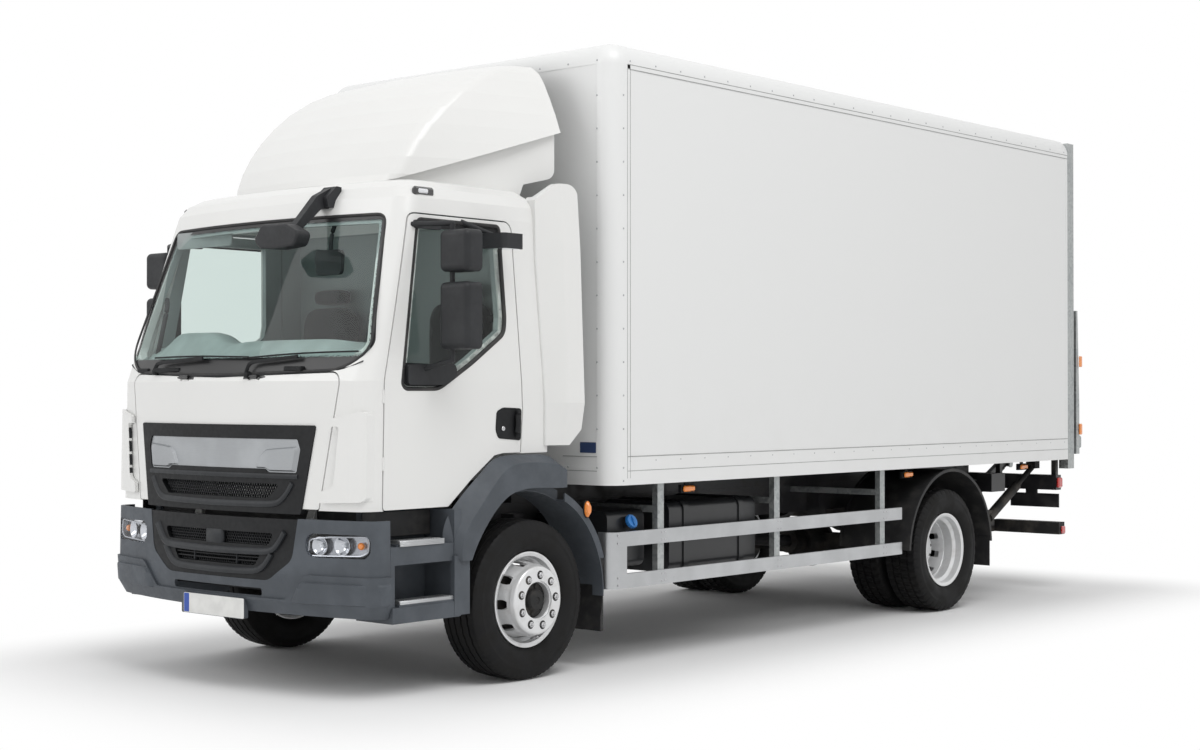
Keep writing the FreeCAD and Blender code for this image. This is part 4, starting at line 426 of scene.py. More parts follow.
BRIGHT_STEEL = brushed("bright steel", (0.62, 0.62, 0.63), (1, 1, 1), 0.2)
BLACK_GLOSS = flat_paint("black gloss", (0.012, 0.012, 0.013), 0.18, coat_weight=1.0)
TANK_BLACK = flat_paint("tank black", (0.02, 0.021, 0.023), 0.32)
CAP_BLUE = flat_paint("cap blue", (0.03, 0.22, 0.62), 0.3)
MIRROR_GLASS = flat_paint("mirror glass", (0.75, 0.78, 0.80), 0.03, metallic=1.0)
RIVET_GREY = flat_paint("rivet grey", (0.45, 0.46, 0.47), 0.35, metallic=0.6)
DARK_BLUE = flat_paint("dark blue", (0.035, 0.06, 0.15), 0.4)
# Grey of the painted shade lines along the box's joints.
SHADE_LINE_GREY = grained_plastic("shade line grey", (0.33, 0.335, 0.33), 0.6)
MESH_BLACK = grained_plastic("mesh black", (0.012, 0.013, 0.015), 0.4)
LAMP_SILVER = flat_paint("lamp silver", (0.42, 0.43, 0.45), 0.25, metallic=0.8)
BULB_GLASS = flat_paint("bulb glass", (0.80, 0.82, 0.84), 0.1, coat_weight=1.0)
CLEAR_LENS = lens("clear lens", (0.62, 0.63, 0.65))
VISOR_GREY = grained_plastic("visor grey", (0.30, 0.32, 0.32), 0.7)

FINISHES = {
    "cab_paint": PAINT,
    "box_skin": BOX_WHITE,
    "chassis_black": CHASSIS,
    "bumper_plastic": BUMPER_GREY,
    "grille_black": GRILLE_BLACK,
    "mirror_plastic": MIRROR_BLACK,
    "badge_silver": SILVER,
    "galvanised": ZINC,
    "aluminium": ALUMINIUM,
    "wheel_silver": WHEEL,
    "tyre": TYRE,
    "rubber": RUBBER,
    "clear_glass": WINDOW_GLASS,
    "lamp_glass": LAMP_LENS,
    "cast_iron": IRON,
    "interior_plastic": TRIM_GREY,
    "seat_fabric": CLOTH,
    "shutter_skin": SHUTTER,
}
SLOT_OF = {part["node"]: part["material_slot"] for part in frame["record"]["subparts"]}


def dress(node, material):
    """Gives a CAD node its finish."""
    mesh = NODES[node].data
    mesh.materials.clear()
    mesh.materials.append(material)


for node in NODES:
    dress(node, FINISHES[SLOT_OF[node]])
dress("windscreen", SCREEN)
dress("fuel_tanks", TANK_BLACK)
dress("lift_struts", CHASSIS)
dress("lift_frame", IRON)


# ---------------------------------------------------------------- mesh kit
def grid_faces(rows, columns, wrap_rows=False, wrap_columns=False):
    """Quads of a grid of points stored row by row; a wrapped direction closes on itself."""
    last_row, last_column = rows - (not wrap_rows), columns - (not wrap_columns)
    r, c = np.meshgrid(np.arange(last_row), np.arange(last_column), indexing="ij")
    r2, c2 = (r + 1) % rows, (c + 1) % columns
    corners = [r * columns + c, r * columns + c2, r2 * columns + c2, r2 * columns + c]
    return np.stack(corners, axis=-1).reshape(-1, 4)


def surface(points, wrap_rows=False, wrap_columns=False):
    """A grid of points, rows x columns x 3, as one part."""
    rows, columns = points.shape[:2]
    return points.reshape(-1, 3), [grid_faces(rows, columns, wrap_rows, wrap_columns)]


def spots_of(x, y, z):
    """Spots from places on the three axes, any of which may be one number for all."""
    return np.stack(np.broadcast_arrays(x, y, z), -1)


def on_nose(rows, depth=0.0):
    """Spots at rows (x, z) on the front of the cab, pushed in by depth."""
    x, z = np.array(rows, float).T
    return spots_of(x, nose_y(x, z, depth), z)


def rectangle(low_a, high_a, low_b, high_b):
    """Outline of a rectangle from its limits on two axes."""
    return [(low_a, low_b), (high_a, low_b), (high_a, high_b), (low_a, high_b)]


def capped(points):
    """A grid whose columns close on themselves, with its first and last rows filled."""
    rows, columns = points.shape[:2]
    flat, faces = surface(points, wrap_columns=True)
    ends = np.array([np.arange(columns)[::-1], np.arange(columns) + (rows - 1) * columns])
    return flat, faces + [ends]


def turned(profile, centre, steps, axis):
    """Closed profile of rows (along, radius) turned about a line through centre along axis."""
    along, radius = np.array(profile, float).T
    angle = np.linspace(0, 2 * np.pi, steps, endpoint=False)[:, None]
    out, up = cross_pair(axis)
    ring = np.cos(angle)[..., None] * up + np.sin(angle)[..., None] * out
    points = np.array(centre) + along[None, :, None] * np.array(axis, float) + ring * radius[None, :, None]
    return surface(points, wrap_rows=True, wrap_columns=True)


def cross_pair(axis):
    """Two unit vectors square to the axis and to each other."""
    axis = np.array(axis, float) / np.linalg.norm(axis)
    seed = np.array([0.0, 0.0, 1.0]) if abs(axis[2]) < 0.9 else np.array([0.0, 1.0, 0.0])
    out = np.cross(axis, seed)
    out /= np.linalg.norm(out)
    return out, np.cross(out, axis)


def softened(path, times=3):
    """Corner cutting: each pass puts two points at a quarter and three quarters of every run."""
    path = np.array(path, float)
    for _ in range(times):
        first, second = path[:-1], path[1:]
        inner = np.stack([first * 0.75 + second * 0.25, first * 0.25 + second * 0.75], 1)
        path = np.vstack([path[:1], inner.reshape(-1, path.shape[1]), path[-1:]])
    return path


def swept(path, section):
    """A closed section, rows (across, up), carried along a path; across is level where it can be."""
    path = np.array(path, float)
    section = np.array(section, float)
    along = np.gradient(path, axis=0)
    along /= np.linalg.norm(along, axis=1)[:, None]
    seed = np.where(np.abs(along[:, 2:3]) < 0.95, [[0.0, 0.0, 1.0]], [[0.0, 1.0, 0.0]])
    across = np.cross(along, seed)
    across /= np.linalg.norm(across, axis=1)[:, None]
    up = np.cross(across, along)
    points = path[:, None] + across[:, None] * section[None, :, :1] + up[:, None] * section[None, :, 1:]
    return capped(points)


def circle(radius, sides=12):
    """Section with its points evenly spaced on a circle."""
    angle = np.linspace(0, 2 * np.pi, sides, endpoint=False)
    return np.stack([np.cos(angle), np.sin(angle)], 1) * radius


def tube(path, radius, sides=12):
    """A round section carried along a path."""
    return swept(path, circle(radius, sides))


def block_template():
    """Chamfered cube: each corner has three points, and signs and insets say where each lies. Six sides and
    twelve chamfers have four points, and eight tips have three."""
    corners = list(itertools.product((-1, 1), repeat=3))
    number = {key: i for i, key in enumerate(itertools.product(corners, range(3)))}

    def corner_at(axis, *signs):
        """The corner whose signs are given in turn from one axis on."""
        return tuple(int(sign) for sign in np.roll(signs, axis))

    quads = []
    for axis, sign in itertools.product(range(3), (-1, 1)):
        ring = [number[corner_at(axis, sign, b, c), axis] for b, c in ((-1, -1), (1, -1), (1, 1), (-1, 1))]
        quads.append(ring[::sign])
    for axis, b, c in itertools.product(range(3), (-1, 1), (-1, 1)):
        first, second = (axis + 1) % 3, (axis + 2) % 3
        near, far = corner_at(axis, -1, b, c), corner_at(axis, 1, b, c)
        ring = [number[near, first], number[far, first], number[far, second], number[near, second]]
        quads.append(ring[:: -b * c])
    tips = [[number[corner, k] for k in range(3)][:: math.prod(corner)] for corner in corners]
    signs, inset = np.repeat(corners, 3, axis=0), np.tile(1 - np.eye(3), (8, 1))
    return signs.astype(float), inset, [np.array(quads), np.array(tips)]


BLOCK = block_template()


def blocks(rows, chamfer=0.002):
    """Chamfered boxes from rows of (x0, x1, y0, y1, z0, z1): middle, plus sign times half size less the
    inset."""
    rows = np.array(rows, float).reshape(-1, 6)
    signs, inset, faces = BLOCK
    centre = (rows[:, 0::2] + rows[:, 1::2]) / 2
    half = (rows[:, 1::2] - rows[:, 0::2]) / 2
    cut = np.minimum(chamfer, half.min(axis=1) * 0.8)[:, None, None]
    points = centre[:, None] + signs * (half[:, None] - inset * cut)
    return repeated(points, faces)


def repeated(points, faces):
    """Copies of a template, copies x points x 3, as one part."""
    copies, count = points.shape[:2]
    step = (np.arange(copies) * count)[:, None, None]
    return points.reshape(-1, 3), [(f[None] + step).reshape(-1, f.shape[1]) for f in faces]


def spread(template, spots, facing):
    """Copies of a template made along +X, one at each spot, turned to face a direction."""
    points, faces = template
    out, up = cross_pair(facing)
    basis = np.stack([np.array(facing, float) / np.linalg.norm(facing), -out, up])
    spots = np.array(spots, float).reshape(-1, 3)
    return repeated(spots[:, None] + (points @ basis)[None], faces)


def knob(profile, sides):
    """Template of a rivet, nut or cap: rows (along, radius) turned about +X and closed at both ends."""
    along, radius = np.array(profile, float).T
    ring = np.insert(circle(1.0, sides), 0, 1.0, axis=1)
    return capped(ring * np.stack([along, radius, radius], 1)[:, None])


NUT_ROWS = [(0, 0.0175), (0.018, 0.0175), (0.022, 0.013), (0.022, 0.009), (0.03, 0.0085), (0.032, 0.006)]
NUT = knob(NUT_ROWS, 6)
NUT_SEAT = knob([(-0.002, 0.0245), (0.0006, 0.0245), (0.0014, 0.0232), (0.0014, 0.001)], 20)
BOLT = knob([(0, 0.011), (0.007, 0.011), (0.009, 0.009), (0.0092, 0.002)], 6)
RIVET = knob([(0, 0.0062), (0.0016, 0.0058), (0.0032, 0.0035), (0.0036, 0.001)], 8)


def flipped(part):
    """Mirror image on the other side of the truck, with its faces turned to suit."""
    points, faces = part
    return points * (-1, 1, 1), [f[:, ::-1] for f in faces]


def both(parts):
    """Each part and its mirror image."""
    parts = [parts] if isinstance(parts, tuple) else parts
    return [one for part in parts for one in (part, flipped(part))]


def piece(name, parts, body, material, angle=35.0):
    """One object from parts, its faces turned outwards and its edges sharp where they turn by more than
    angle."""
    parts = [parts] if isinstance(parts, tuple) else parts
    points, corners, counts, offset = [], [], [], 0
    for flat, face_sets in parts:
        for faces in face_sets:
            corners.append((faces + offset).ravel())
            counts.append(np.full(len(faces), faces.shape[1]))
        points.append(flat)
        offset += len(flat)
    points, corners, counts = np.concatenate(points), np.concatenate(corners), np.concatenate(counts)
    mesh = bpy.data.meshes.new(name)
    mesh.vertices.add(len(points))
    mesh.vertices.foreach_set("co", points.astype(np.float32).ravel())
    mesh.loops.add(len(corners))
    mesh.loops.foreach_set("vertex_index", corners.astype(np.int32))
    mesh.polygons.add(len(counts))
    starts = np.concatenate([[0], np.cumsum(counts)[:-1]])
    mesh.polygons.foreach_set("loop_start", starts.astype(np.int32))
    mesh.update(calc_edges=True)
    mesh.validate()
    work = bmesh.new()
    work.from_mesh(mesh)
    bmesh.ops.recalc_face_normals(work, faces=work.faces)
    work.to_mesh(mesh)
    work.free()
    mesh.polygons.foreach_set("use_smooth", np.ones(len(mesh.polygons), bool))
    mesh.set_sharp_from_angle(angle=math.radians(angle))
    mesh.materials.append(material)
    made = bpy.data.objects.new(name, mesh)
    bpy.context.scene.collection.objects.link(made)
    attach(made, body)
    return made


# ---------------------------------------------------------------- tyres and wheels
CARCASS = [(-0.106, 0.2672), (-0.118, 0.276), (-0.1345, 0.300), (-0.1405, 0.330), (-0.1418, 0.345),
           (-0.1405, 0.362), (-0.1385, 0.380), (-0.1395, 0.384), (-0.1385, 0.390), (-0.134, 0.408),
           (-0.128, 0.424), (-0.121, 0.436)]
LINING = [(0.085, 0.425), (0.115, 0.400), (0.125, 0.345), (0.112, 0.300), (0.098, 0.272)]
TREAD_HALF, TREAD_CROWN, TREAD_EDGE, SHOULDER_X = 0.116, 0.0065, 0.108, 0.1
ROAD_STEPS, ROAD_WAVES, ROAD_CUT = 288, 48, 0.003
BLOCK_PITCHES, BLOCK_STEPS, BLOCK_FLOOR = 46, 8, 0.4335


def tread_section(grooves, width, depth):
    """Section across a tyre from bead to bead, outside then lining. The tread is a parabola across, highest
    in its middle, and each groove is a drop with sloping sides."""
    tread = [(-TREAD_HALF, 0.0), (-TREAD_EDGE, 0.0)]
    for groove in grooves:
        for offset, drop in ((-0.62, 0.0), (-0.42, depth), (0.42, depth), (0.62, 0.0)):
            tread.append((groove + offset * width, drop))
    tread += [(TREAD_EDGE, 0.0), (TREAD_HALF, 0.0)]
    top = TYRE_R - 0.0005
    rows = CARCASS + [(x, top - drop - (x / TREAD_HALF) ** 2 * TREAD_CROWN) for x, drop in tread]
    rows += [(-x, r) for x, r in reversed(CARCASS)] + LINING + [(-x, r) for x, r in reversed(LINING)]
    return np.array(rows)


def tyre_grid(rows, steps):
    """Places across, radii and angles of a section repeated at every step round the tyre."""
    angle = np.linspace(0, 2 * np.pi, steps, endpoint=False)[:, None]
    return rows[None, :, 0] + 0 * angle, rows[None, :, 1] + 0 * angle, angle


def tyre_surface(x, y, across, radius, angle):
    """Closed surface whose points lie across from x, at a radius and an angle about the axle at y."""
    points = spots_of(x + across, y + radius * np.cos(angle), AXLE_Z + radius * np.sin(angle))
    return surface(points, wrap_rows=True, wrap_columns=True)


def road_tyre(x, y):
    """Steer tyre: four grooves whose walls step sideways as a square wave of the angle, and fine cuts at
    the shoulders at every fourth step."""
    rows = tread_section((-0.072, -0.025, 0.025, 0.072), 0.0095, 0.012)
    across, radius, angle = tyre_grid(rows, ROAD_STEPS)
    on_tread = (np.abs(across) < SHOULDER_X) & (radius > 0.43)
    fourth = np.arange(ROAD_STEPS)[:, None] % 4 == 0
    across = across + on_tread * 0.0016 * np.sign(np.sin(angle * ROAD_WAVES))
    out = np.abs(across)
    cut = (out > SHOULDER_X) & (out < 0.13) & (radius > 0.42) & fourth
    return tyre_surface(x, y, across, radius - cut * ROAD_CUT, angle)


def block_tyre(x, y):
    """Drive tyre: two steps of every eight are cut down to the groove's floor, half a pitch later on every
    other rib, so that ribs become staggered blocks and lugs run onto the shoulders."""
    grooves = (-0.062, 0.0, 0.062)
    across, radius, angle = tyre_grid(tread_section(grooves, 0.012, 0.014), BLOCK_PITCHES * BLOCK_STEPS)
    step, rib = np.arange(len(angle))[:, None], np.digitize(across, grooves)
    phase = (step + BLOCK_STEPS // 2 * (rib % 2) + np.round(across / 0.02)) % BLOCK_STEPS
    shoulder = (np.abs(across) > SHOULDER_X) & (radius > 0.418)
    crown = (np.abs(across) <= 0.117) & (radius > 0.435)
    cut = (phase < 2) & (crown | shoulder)
    floor = np.where(crown, BLOCK_FLOOR, radius - 0.008)
    radius = np.where(cut, np.minimum(radius, floor), radius)
    return tyre_surface(x, y, across, radius, angle)


NUTS, NUT_CIRCLE = 9, 0.1415
FRONT_START, REAR_START = 84.0, 96.0
FRONT_FACE, REAR_FACE, REAR_HALF = 0.195, 0.0125, 0.1425
HUB = [(-0.0592, 0.1035), (-0.050, 0.1035), (-0.047, 0.094), (-0.040, 0.090), (-0.038, 0.064),
       (-0.020, 0.060), (-0.010, 0.052), (-0.008, 0.020), (-0.012, 0.018), (-0.012, 0.002),
       (-0.0592, 0.002)]


def ring_spots(x, y, radius, count, start):
    """Spots evenly spaced on a circle about an axle, the first at the angle start in degrees."""
    angle = np.radians(start + np.arange(count) * 360 / count)
    return spots_of(x, y + radius * np.cos(angle), AXLE_Z + radius * np.sin(angle))


def nut_circle(names, side, sign, x, y, start, rise, body):
    """Nine nuts, which stand off by rise, on cast washers: names are those of the nuts and of the
    washers."""
    facing = (sign, 0, 0)
    nuts = spread(NUT, ring_spots(x + sign * rise, y, NUT_CIRCLE, NUTS, start), facing)
    piece(names[0] + side, nuts, body, BRIGHT_STEEL, 30.0)
    washers = spread(NUT_SEAT, ring_spots(x, y, NUT_CIRCLE, NUTS, start), facing)
    piece(names[1] + side, washers, body, IRON, 40.0)


def front_wheel(side, sign):
    """Steer tyre in place of the plain one, wheel nuts, hub cap with its bolts, and the valve's bent
    stem."""
    body = "front_wheel_" + side
    tyre = piece("steer_tyre_" + side, road_tyre(sign * FRONT_X, AXLE_Y), body, TYRE, 30.0)
    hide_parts("front_tyre_" + side)
    face = sign * (FRONT_X + FRONT_FACE)
    facing = (sign, 0, 0)
    nut_circle(("wheel_nuts_", "nut_seats_"), side, sign, face, AXLE_Y, FRONT_START, -0.010, body)
    cap = turned(HUB, (face, AXLE_Y, AXLE_Z), 48, facing)
    bolts = spread(BOLT, ring_spots(face - sign * 0.040, AXLE_Y, 0.077, 6, 20), facing)
    piece("hub_cap_" + side, [cap, bolts], body, IRON)
    stem = [(-0.085, 0.03, -0.222), (-0.06, 0.03, -0.216), (-0.03, 0.028, -0.206)]
    stem = np.array(stem) * (sign, 1, 1) + (face, AXLE_Y, AXLE_Z)
    piece("valve_" + side, tube(softened(stem), 0.005, 8), body, BRIGHT_STEEL)


def rear_wheel(side, sign):
    """Twin drive tyres in place of the plain ones, wheel nuts on the disc where the twins meet, and hub
    bolts."""
    body = "rear_wheels_" + side
    low, high = (np.array(c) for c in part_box("rear_tyres_" + side))
    outer = sign * (max(abs(low[0]), abs(high[0])) - REAR_HALF)
    inner = sign * (min(abs(low[0]), abs(high[0])) + REAR_HALF)
    tyres = [block_tyre(outer, REAR_Y), block_tyre(inner, REAR_Y)]
    made = piece("drive_tyres_" + side, tyres, body, TYRE, 30.0)
    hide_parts("rear_tyres_" + side)
    meet = (outer + inner) / 2
    face = meet + sign * REAR_FACE
    nut_circle(("rear_nuts_", "rear_nut_seats_"), side, sign, face, REAR_Y, REAR_START, -0.0045, body)
    bolts = spread(BOLT, ring_spots(meet + sign * 0.094, REAR_Y, 0.088, 8, 11), (sign, 0, 0))
    piece("rear_hub_bolts_" + side, bolts, body, IRON, 30.0)


for side, sign in SIDES:
    front_wheel(side, sign)
    rear_wheel(side, sign)


# ---------------------------------------------------------------- laying pieces on the frame
SKINS = {}


def coordinates(mesh):
    """The mesh's points as an array, points x 3."""
    values = np.empty(len(mesh.vertices) * 3)
    mesh.vertices.foreach_get("co", values)
    return values.reshape(-1, 3)


def skin(node):
    """Corners of a CAD node's triangles: triangles x corners x coordinates."""
    if node not in SKINS:
        mesh = NODES[node].data
        mesh.calc_loop_triangles()
        corners = np.empty(len(mesh.loop_triangles) * 3, np.int32)
        mesh.loop_triangles.foreach_get("vertices", corners)
        SKINS[node] = coordinates(mesh)[corners].reshape(-1, 3, 3)
    return SKINS[node]


def turn_of(first, second):
    """Cross product in the plane: twice the signed area between two sides."""
    return first[..., 0] * second[..., 1] - first[..., 1] * second[..., 0]


def laid(spots, nodes, axis=1, side=-1, lift=0.0):
    """Spots slid along one axis onto the outermost skin of the nodes, then lifted off it. A triangle is
    under a spot where its three area weights are all positive, and the weights give the skin's place
    there. A spot with no skin under it takes the mean place of the others."""
    spots = np.array(spots, float)
    shape = spots.shape
    spots = spots.reshape(-1, 3)
    keep = [k for k in range(3) if k != axis]
    at = spots[:, keep]
    triangles = np.concatenate([skin(node) for node in ([nodes] if isinstance(nodes, str) else nodes)])
    plan = triangles[:, :, keep]
    near = (plan.max(axis=1) >= at.min(axis=0)) & (plan.min(axis=1) <= at.max(axis=0))
    triangles = triangles[near.all(axis=1)]
    plan = triangles[:, :, keep]
    first, second, third = plan[:, 0], plan[:, 1], plan[:, 2]
    area = turn_of(second - first, third - first)
    area = np.where(np.abs(area) < 1e-10, np.nan, area)
    reach = at[:, None] - first[None]
    share_b = turn_of(reach, (third - first)[None]) / area
    share_c = turn_of((second - first)[None], reach) / area
    share_a = 1 - share_b - share_c
    under = np.minimum(np.minimum(share_a, share_b), share_c) > -1e-5
    heights = triangles[:, :, axis]
    place = share_a * heights[:, 0] + share_b * heights[:, 1] + share_c * heights[:, 2]
    best = np.where(under, place * side, -np.inf).max(axis=1, initial=-np.inf)
    found = np.isfinite(best)
    spots[found, axis] = side * (best[found] + lift)
    spots[~found, axis] = spots[found, axis].mean() if found.any() else spots[~found, axis]
    return spots.reshape(shape)


def truck(rows, column=1):
    """Rows measured from the front axle, moved to the frame's own y."""
    rows = np.array(rows, float)
    rows[..., column] += AXLE_Y
    return rows


def rounded(outline, radius, steps=6):
    """Closed outline whose corners give way to quadratic curves that start a radius before each corner."""
    outline = np.array(outline, float)
    before, after = np.roll(outline, 1, 0) - outline, np.roll(outline, -1, 0) - outline
    back, ahead = np.linalg.norm(before, axis=1), np.linalg.norm(after, axis=1)
    cut = np.minimum(radius, 0.49 * np.minimum(back, ahead))[:, None]
    start, end = outline + before / back[:, None] * cut, outline + after / ahead[:, None] * cut
    t = np.linspace(0, 1, steps)[None, :, None]
    curve = start[:, None] * (1 - t) ** 2 + outline[:, None] * 2 * t * (1 - t) + end[:, None] * t**2
    return curve.reshape(-1, outline.shape[1])


def dense(outline, run=0.02, closed=True):
    """Outline with points added so that no run between them is longer than run."""
    outline = np.array(outline, float)
    if closed:
        outline = np.vstack([outline, outline[:1]])
    length = np.linalg.norm(np.diff(outline, axis=0), axis=1)
    total = np.concatenate([[0], np.cumsum(length)])
    marks = np.unique(np.concatenate([total, np.arange(0, total[-1], run)]).round(6))
    if closed:
        marks = marks[:-1]
    return np.stack([np.interp(marks, total, outline[:, k]) for k in range(outline.shape[1])], 1)


def plate_on(outline, nodes, height=0.003, axis=1, side=-1, bevel=0.0015, run=0.02, rings=4, sunk=0.0005):
    """A thin plate lying on a surface: rings of its outline drawn in towards its middle, laid and
    lifted."""
    outline = dense(outline, run)
    centre = outline.mean(axis=0)
    size = np.linalg.norm(outline - centre, axis=1).mean()
    cut = 1 - bevel / size
    shares = [0.02, 1, 1, cut] + list(np.linspace(cut, 0.02, rings + 1)[1:])
    lifts = [-sunk, -sunk, height - bevel] + [height] * (rings + 1)
    rows = centre + (outline - centre) * np.array(shares)[:, None, None]
    spots = laid(np.insert(rows, axis, 0.0, axis=2), nodes, axis, side)
    spots[..., axis] += side * np.array(lifts)[:, None]
    return capped(spots)


def flat_plate(outline, low, high, axis=1, bevel=0.0015):
    """A flat plate between two places on an axis, its outline drawn in a little on the outer face."""
    outline = np.array(outline, float)
    centre = outline.mean(axis=0)
    size = np.linalg.norm(outline - centre, axis=1).mean()
    cut = 1 - bevel / size
    step = bevel * np.sign(high - low)
    shares = [0.02, 1, 1, cut, 0.02]
    rows = centre + (outline - centre) * np.array(shares)[:, None, None]
    spots = np.insert(rows, axis, 0.0, axis=2)
    spots[..., axis] = np.array([low, low, high - step, high, high])[:, None]
    return capped(spots)


def band(path, section, out, closed=True):
    """A closed section, rows (across, outward), carried along a path whose outward direction stays
    fixed."""
    path = np.array(path, float)
    along = np.roll(path, -1, 0) - np.roll(path, 1, 0) if closed else np.gradient(path, axis=0)
    out = np.array(out, float)
    across = np.cross(along, out)
    across /= np.linalg.norm(across, axis=1)[:, None]
    section = np.array(section, float)
    points = path[:, None] + across[:, None] * section[None, :, :1] + out * section[None, :, 1:]
    return surface(points, wrap_rows=True, wrap_columns=True) if closed else capped(points)


# ---------------------------------------------------------------- box body
RIVET_PITCH, POST_RIVET_PITCH = 0.237, 0.194
RAIL_RIVET_Z, COVE_RIVET_Z = 1.20, COVE_Z + 0.022
POST_X, POST_Y = BOX_X - 0.123, BOX_FRONT_Y + 0.097
SILL_Z, RAIL_TOP = 1.163, 1.2235
FLUSH = -0.0003


def rivets():
    """Rows of pop rivets: along the bottom rail and the roof cove, and up the corner posts."""
    along = np.arange(BOX_FRONT_Y + 0.155, BOX_REAR_Y - 0.03, RIVET_PITCH)
    up = np.arange(1.388, COVE_Z - 0.04, POST_RIVET_PITCH)
    across = np.arange(-POST_X, POST_X + 0.01, 2 * POST_X / 10)
    rows = [spots_of(BOX_X, along, z) for z in (RAIL_RIVET_Z, COVE_RIVET_Z)]
    rows += [spots_of(BOX_X, POST_Y, up), [(BOX_X, POST_Y, SILL_Z), (BOX_X, POST_Y, 1.087)]]
    sides = laid(np.concatenate(rows), ("box_side_left", "box_roof", "box_front_wall"), 0, 1, FLUSH)
    posts = spots_of(POST_X, BOX_FRONT_Y, up)
    ends = [spots_of(across, BOX_FRONT_Y, z) for z in (COVE_RIVET_Z, SILL_Z)]
    front = np.concatenate([posts, posts * (-1, 1, 1), *ends])
    front = laid(front, ("box_front_wall", "box_roof"), 1, -1, FLUSH)
    parts = both(spread(RIVET, sides, (1, 0, 0))) + [spread(RIVET, front, (0, -1, 0))]
    piece("box_rivets", parts, "chassis", RIVET_GREY, 50.0)


def box_trims():
    """Flat flange of the bottom rail over the panel's foot, the strips that close the corner posts, grey
    lines of painted shade along the joints that stand in for the shadows of grooves and flange edges, and a
    blank blue plate on the front wall."""
    x = BOX_X - 0.0022
    y0, y1 = BOX_FRONT_Y + 0.131, BOX_REAR_Y
    rows = [
        (x, x + 0.002, y0, y1, 1.168, RAIL_TOP),
        (x, x + 0.002, y0, y0 + 0.022, RAIL_TOP, COVE_Z - 0.001),
        (x, x + 0.002, y0, y1, COVE_Z - 0.024, COVE_Z - 0.001),
        (x, x + 0.002, y1 - 0.03, y1, RAIL_TOP, COVE_Z - 0.024),
    ]
    piece("box_flanges", both(blocks(rows, 0.0008)), "chassis", BOX_WHITE)
    front, half = BOX_FRONT_Y, 0.0022
    sunk, proud = BOX_X - 0.001, BOX_X + 0.0006
    levels, cove = (1.143, 1.2265), (COVE_Z - 0.026, COVE_Z + 0.001)
    # Grey strips of painted shade: the shadow lines of the grooves and flange edges along the joints.
    shade_lines = [(sunk, proud, y0, y1, z - half, z + half) for z in levels + cove]
    shade_lines += [(sunk, proud, y - half, y + half, 1.10, COVE_Z) for y in (y0 - 0.002, y0 + 0.024)]
    shade_lines += [(0.86, 1.127, front - 0.0006, front + 0.001, z - half, z + half) for z in levels]
    piece("panel_shade_lines", both(blocks(shade_lines, 0.0003)), "chassis", SHADE_LINE_GREY)
    label = rounded(rectangle(0.995, 1.119, 1.248, 1.31), 0.006)
    label = flat_plate(label, front + 0.0005, front - 0.0006, 1, 0.0003)
    piece("blank_data_panel", label, "chassis", DARK_BLUE)


# ---------------------------------------------------------------- front of the cab
CELL_PITCH = 0.0185


def honeycomb(x0, x1, z0, z1, depth):
    """Six-sided cells in staggered rows, each a short hollow prism whose face follows the nose: six corners
    at 60 degree steps, each with four points, two on the outer wall and two on the inner one."""
    pitch, rise = CELL_PITCH, CELL_PITCH * math.sqrt(3) / 2
    columns, rows = int((x1 - x0) / pitch) + 1, int((z1 - z0) / rise) + 1
    column, row = np.meshgrid(np.arange(columns), np.arange(rows))
    centres = np.stack([x0 + (column + 0.5 * (row % 2)) * pitch, z0 + row * rise], -1).reshape(-1, 1, 1, 2)
    angle = np.radians(30 + 60 * np.arange(6))
    turn = np.stack([np.cos(angle), np.sin(angle)], -1)
    radius = np.array([0.577, 0.577, 0.44, 0.44]) * pitch
    back = np.array([0.010, 0.0, 0.0015, 0.010])
    plan = centres + turn[None, :, None] * radius[None, None, :, None]
    points = spots_of(plan[..., 0], nose_y(plan[..., 0], plan[..., 1]) + depth + back, plan[..., 1])
    return repeated(points.reshape(len(points), -1, 3), [grid_faces(6, 4, True, True)])


def grille_mesh():
    """Honeycomb behind the opening of the lifting panel and behind the two lower ones."""
    upper = [honeycomb(-0.53, 0.53, 1.03, 1.125, 0.020)]
    piece("upper_mesh", upper, "front_lid", MESH_BLACK)
    lower = [honeycomb(-0.48, 0.48, 0.785, 0.865, 0.026), honeycomb(-0.39, 0.39, 0.675, 0.755, 0.026)]
    piece("lower_mesh", lower, "chassis", MESH_BLACK)


def badge_wings():
    """Raised wings at both ends of the blank silver panel."""
    wing = [(0.634, 1.318), (0.506, 1.309), (0.408, 1.300), (0.370, 1.272), (0.344, 1.225), (0.332, 1.199),
            (0.405, 1.199), (0.436, 1.183), (0.622, 1.183), (0.645, 1.298)]
    part = plate_on(rounded(wing, 0.012, 4), "grille_badge", 0.014, bevel=0.016, run=0.012)
    piece("badge_wings", both(part), "front_lid", SILVER, 30.0)


def number_plate():
    """Blank white plate with a plain blue band at one end, set on its plinth."""
    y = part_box("bumper")[0][1]
    x0, x1, z0, z1 = -0.242, 0.278, 0.394, 0.502
    plate = flat_plate(rounded(rectangle(x0, x1, z0, z1), 0.008), y + 0.002, y - 0.0003, 1, 0.0003)
    piece("blank_plate", plate, "chassis", PLATE_WHITE)
    end = rounded(rectangle(x0 + 0.003, x0 + 0.048, z0 + 0.003, z1 - 0.003), 0.003)
    end = flat_plate(end, y - 0.0001, y - 0.0005, 1, 0.0001)
    piece("plate_band", end, "chassis", PLATE_BLUE)


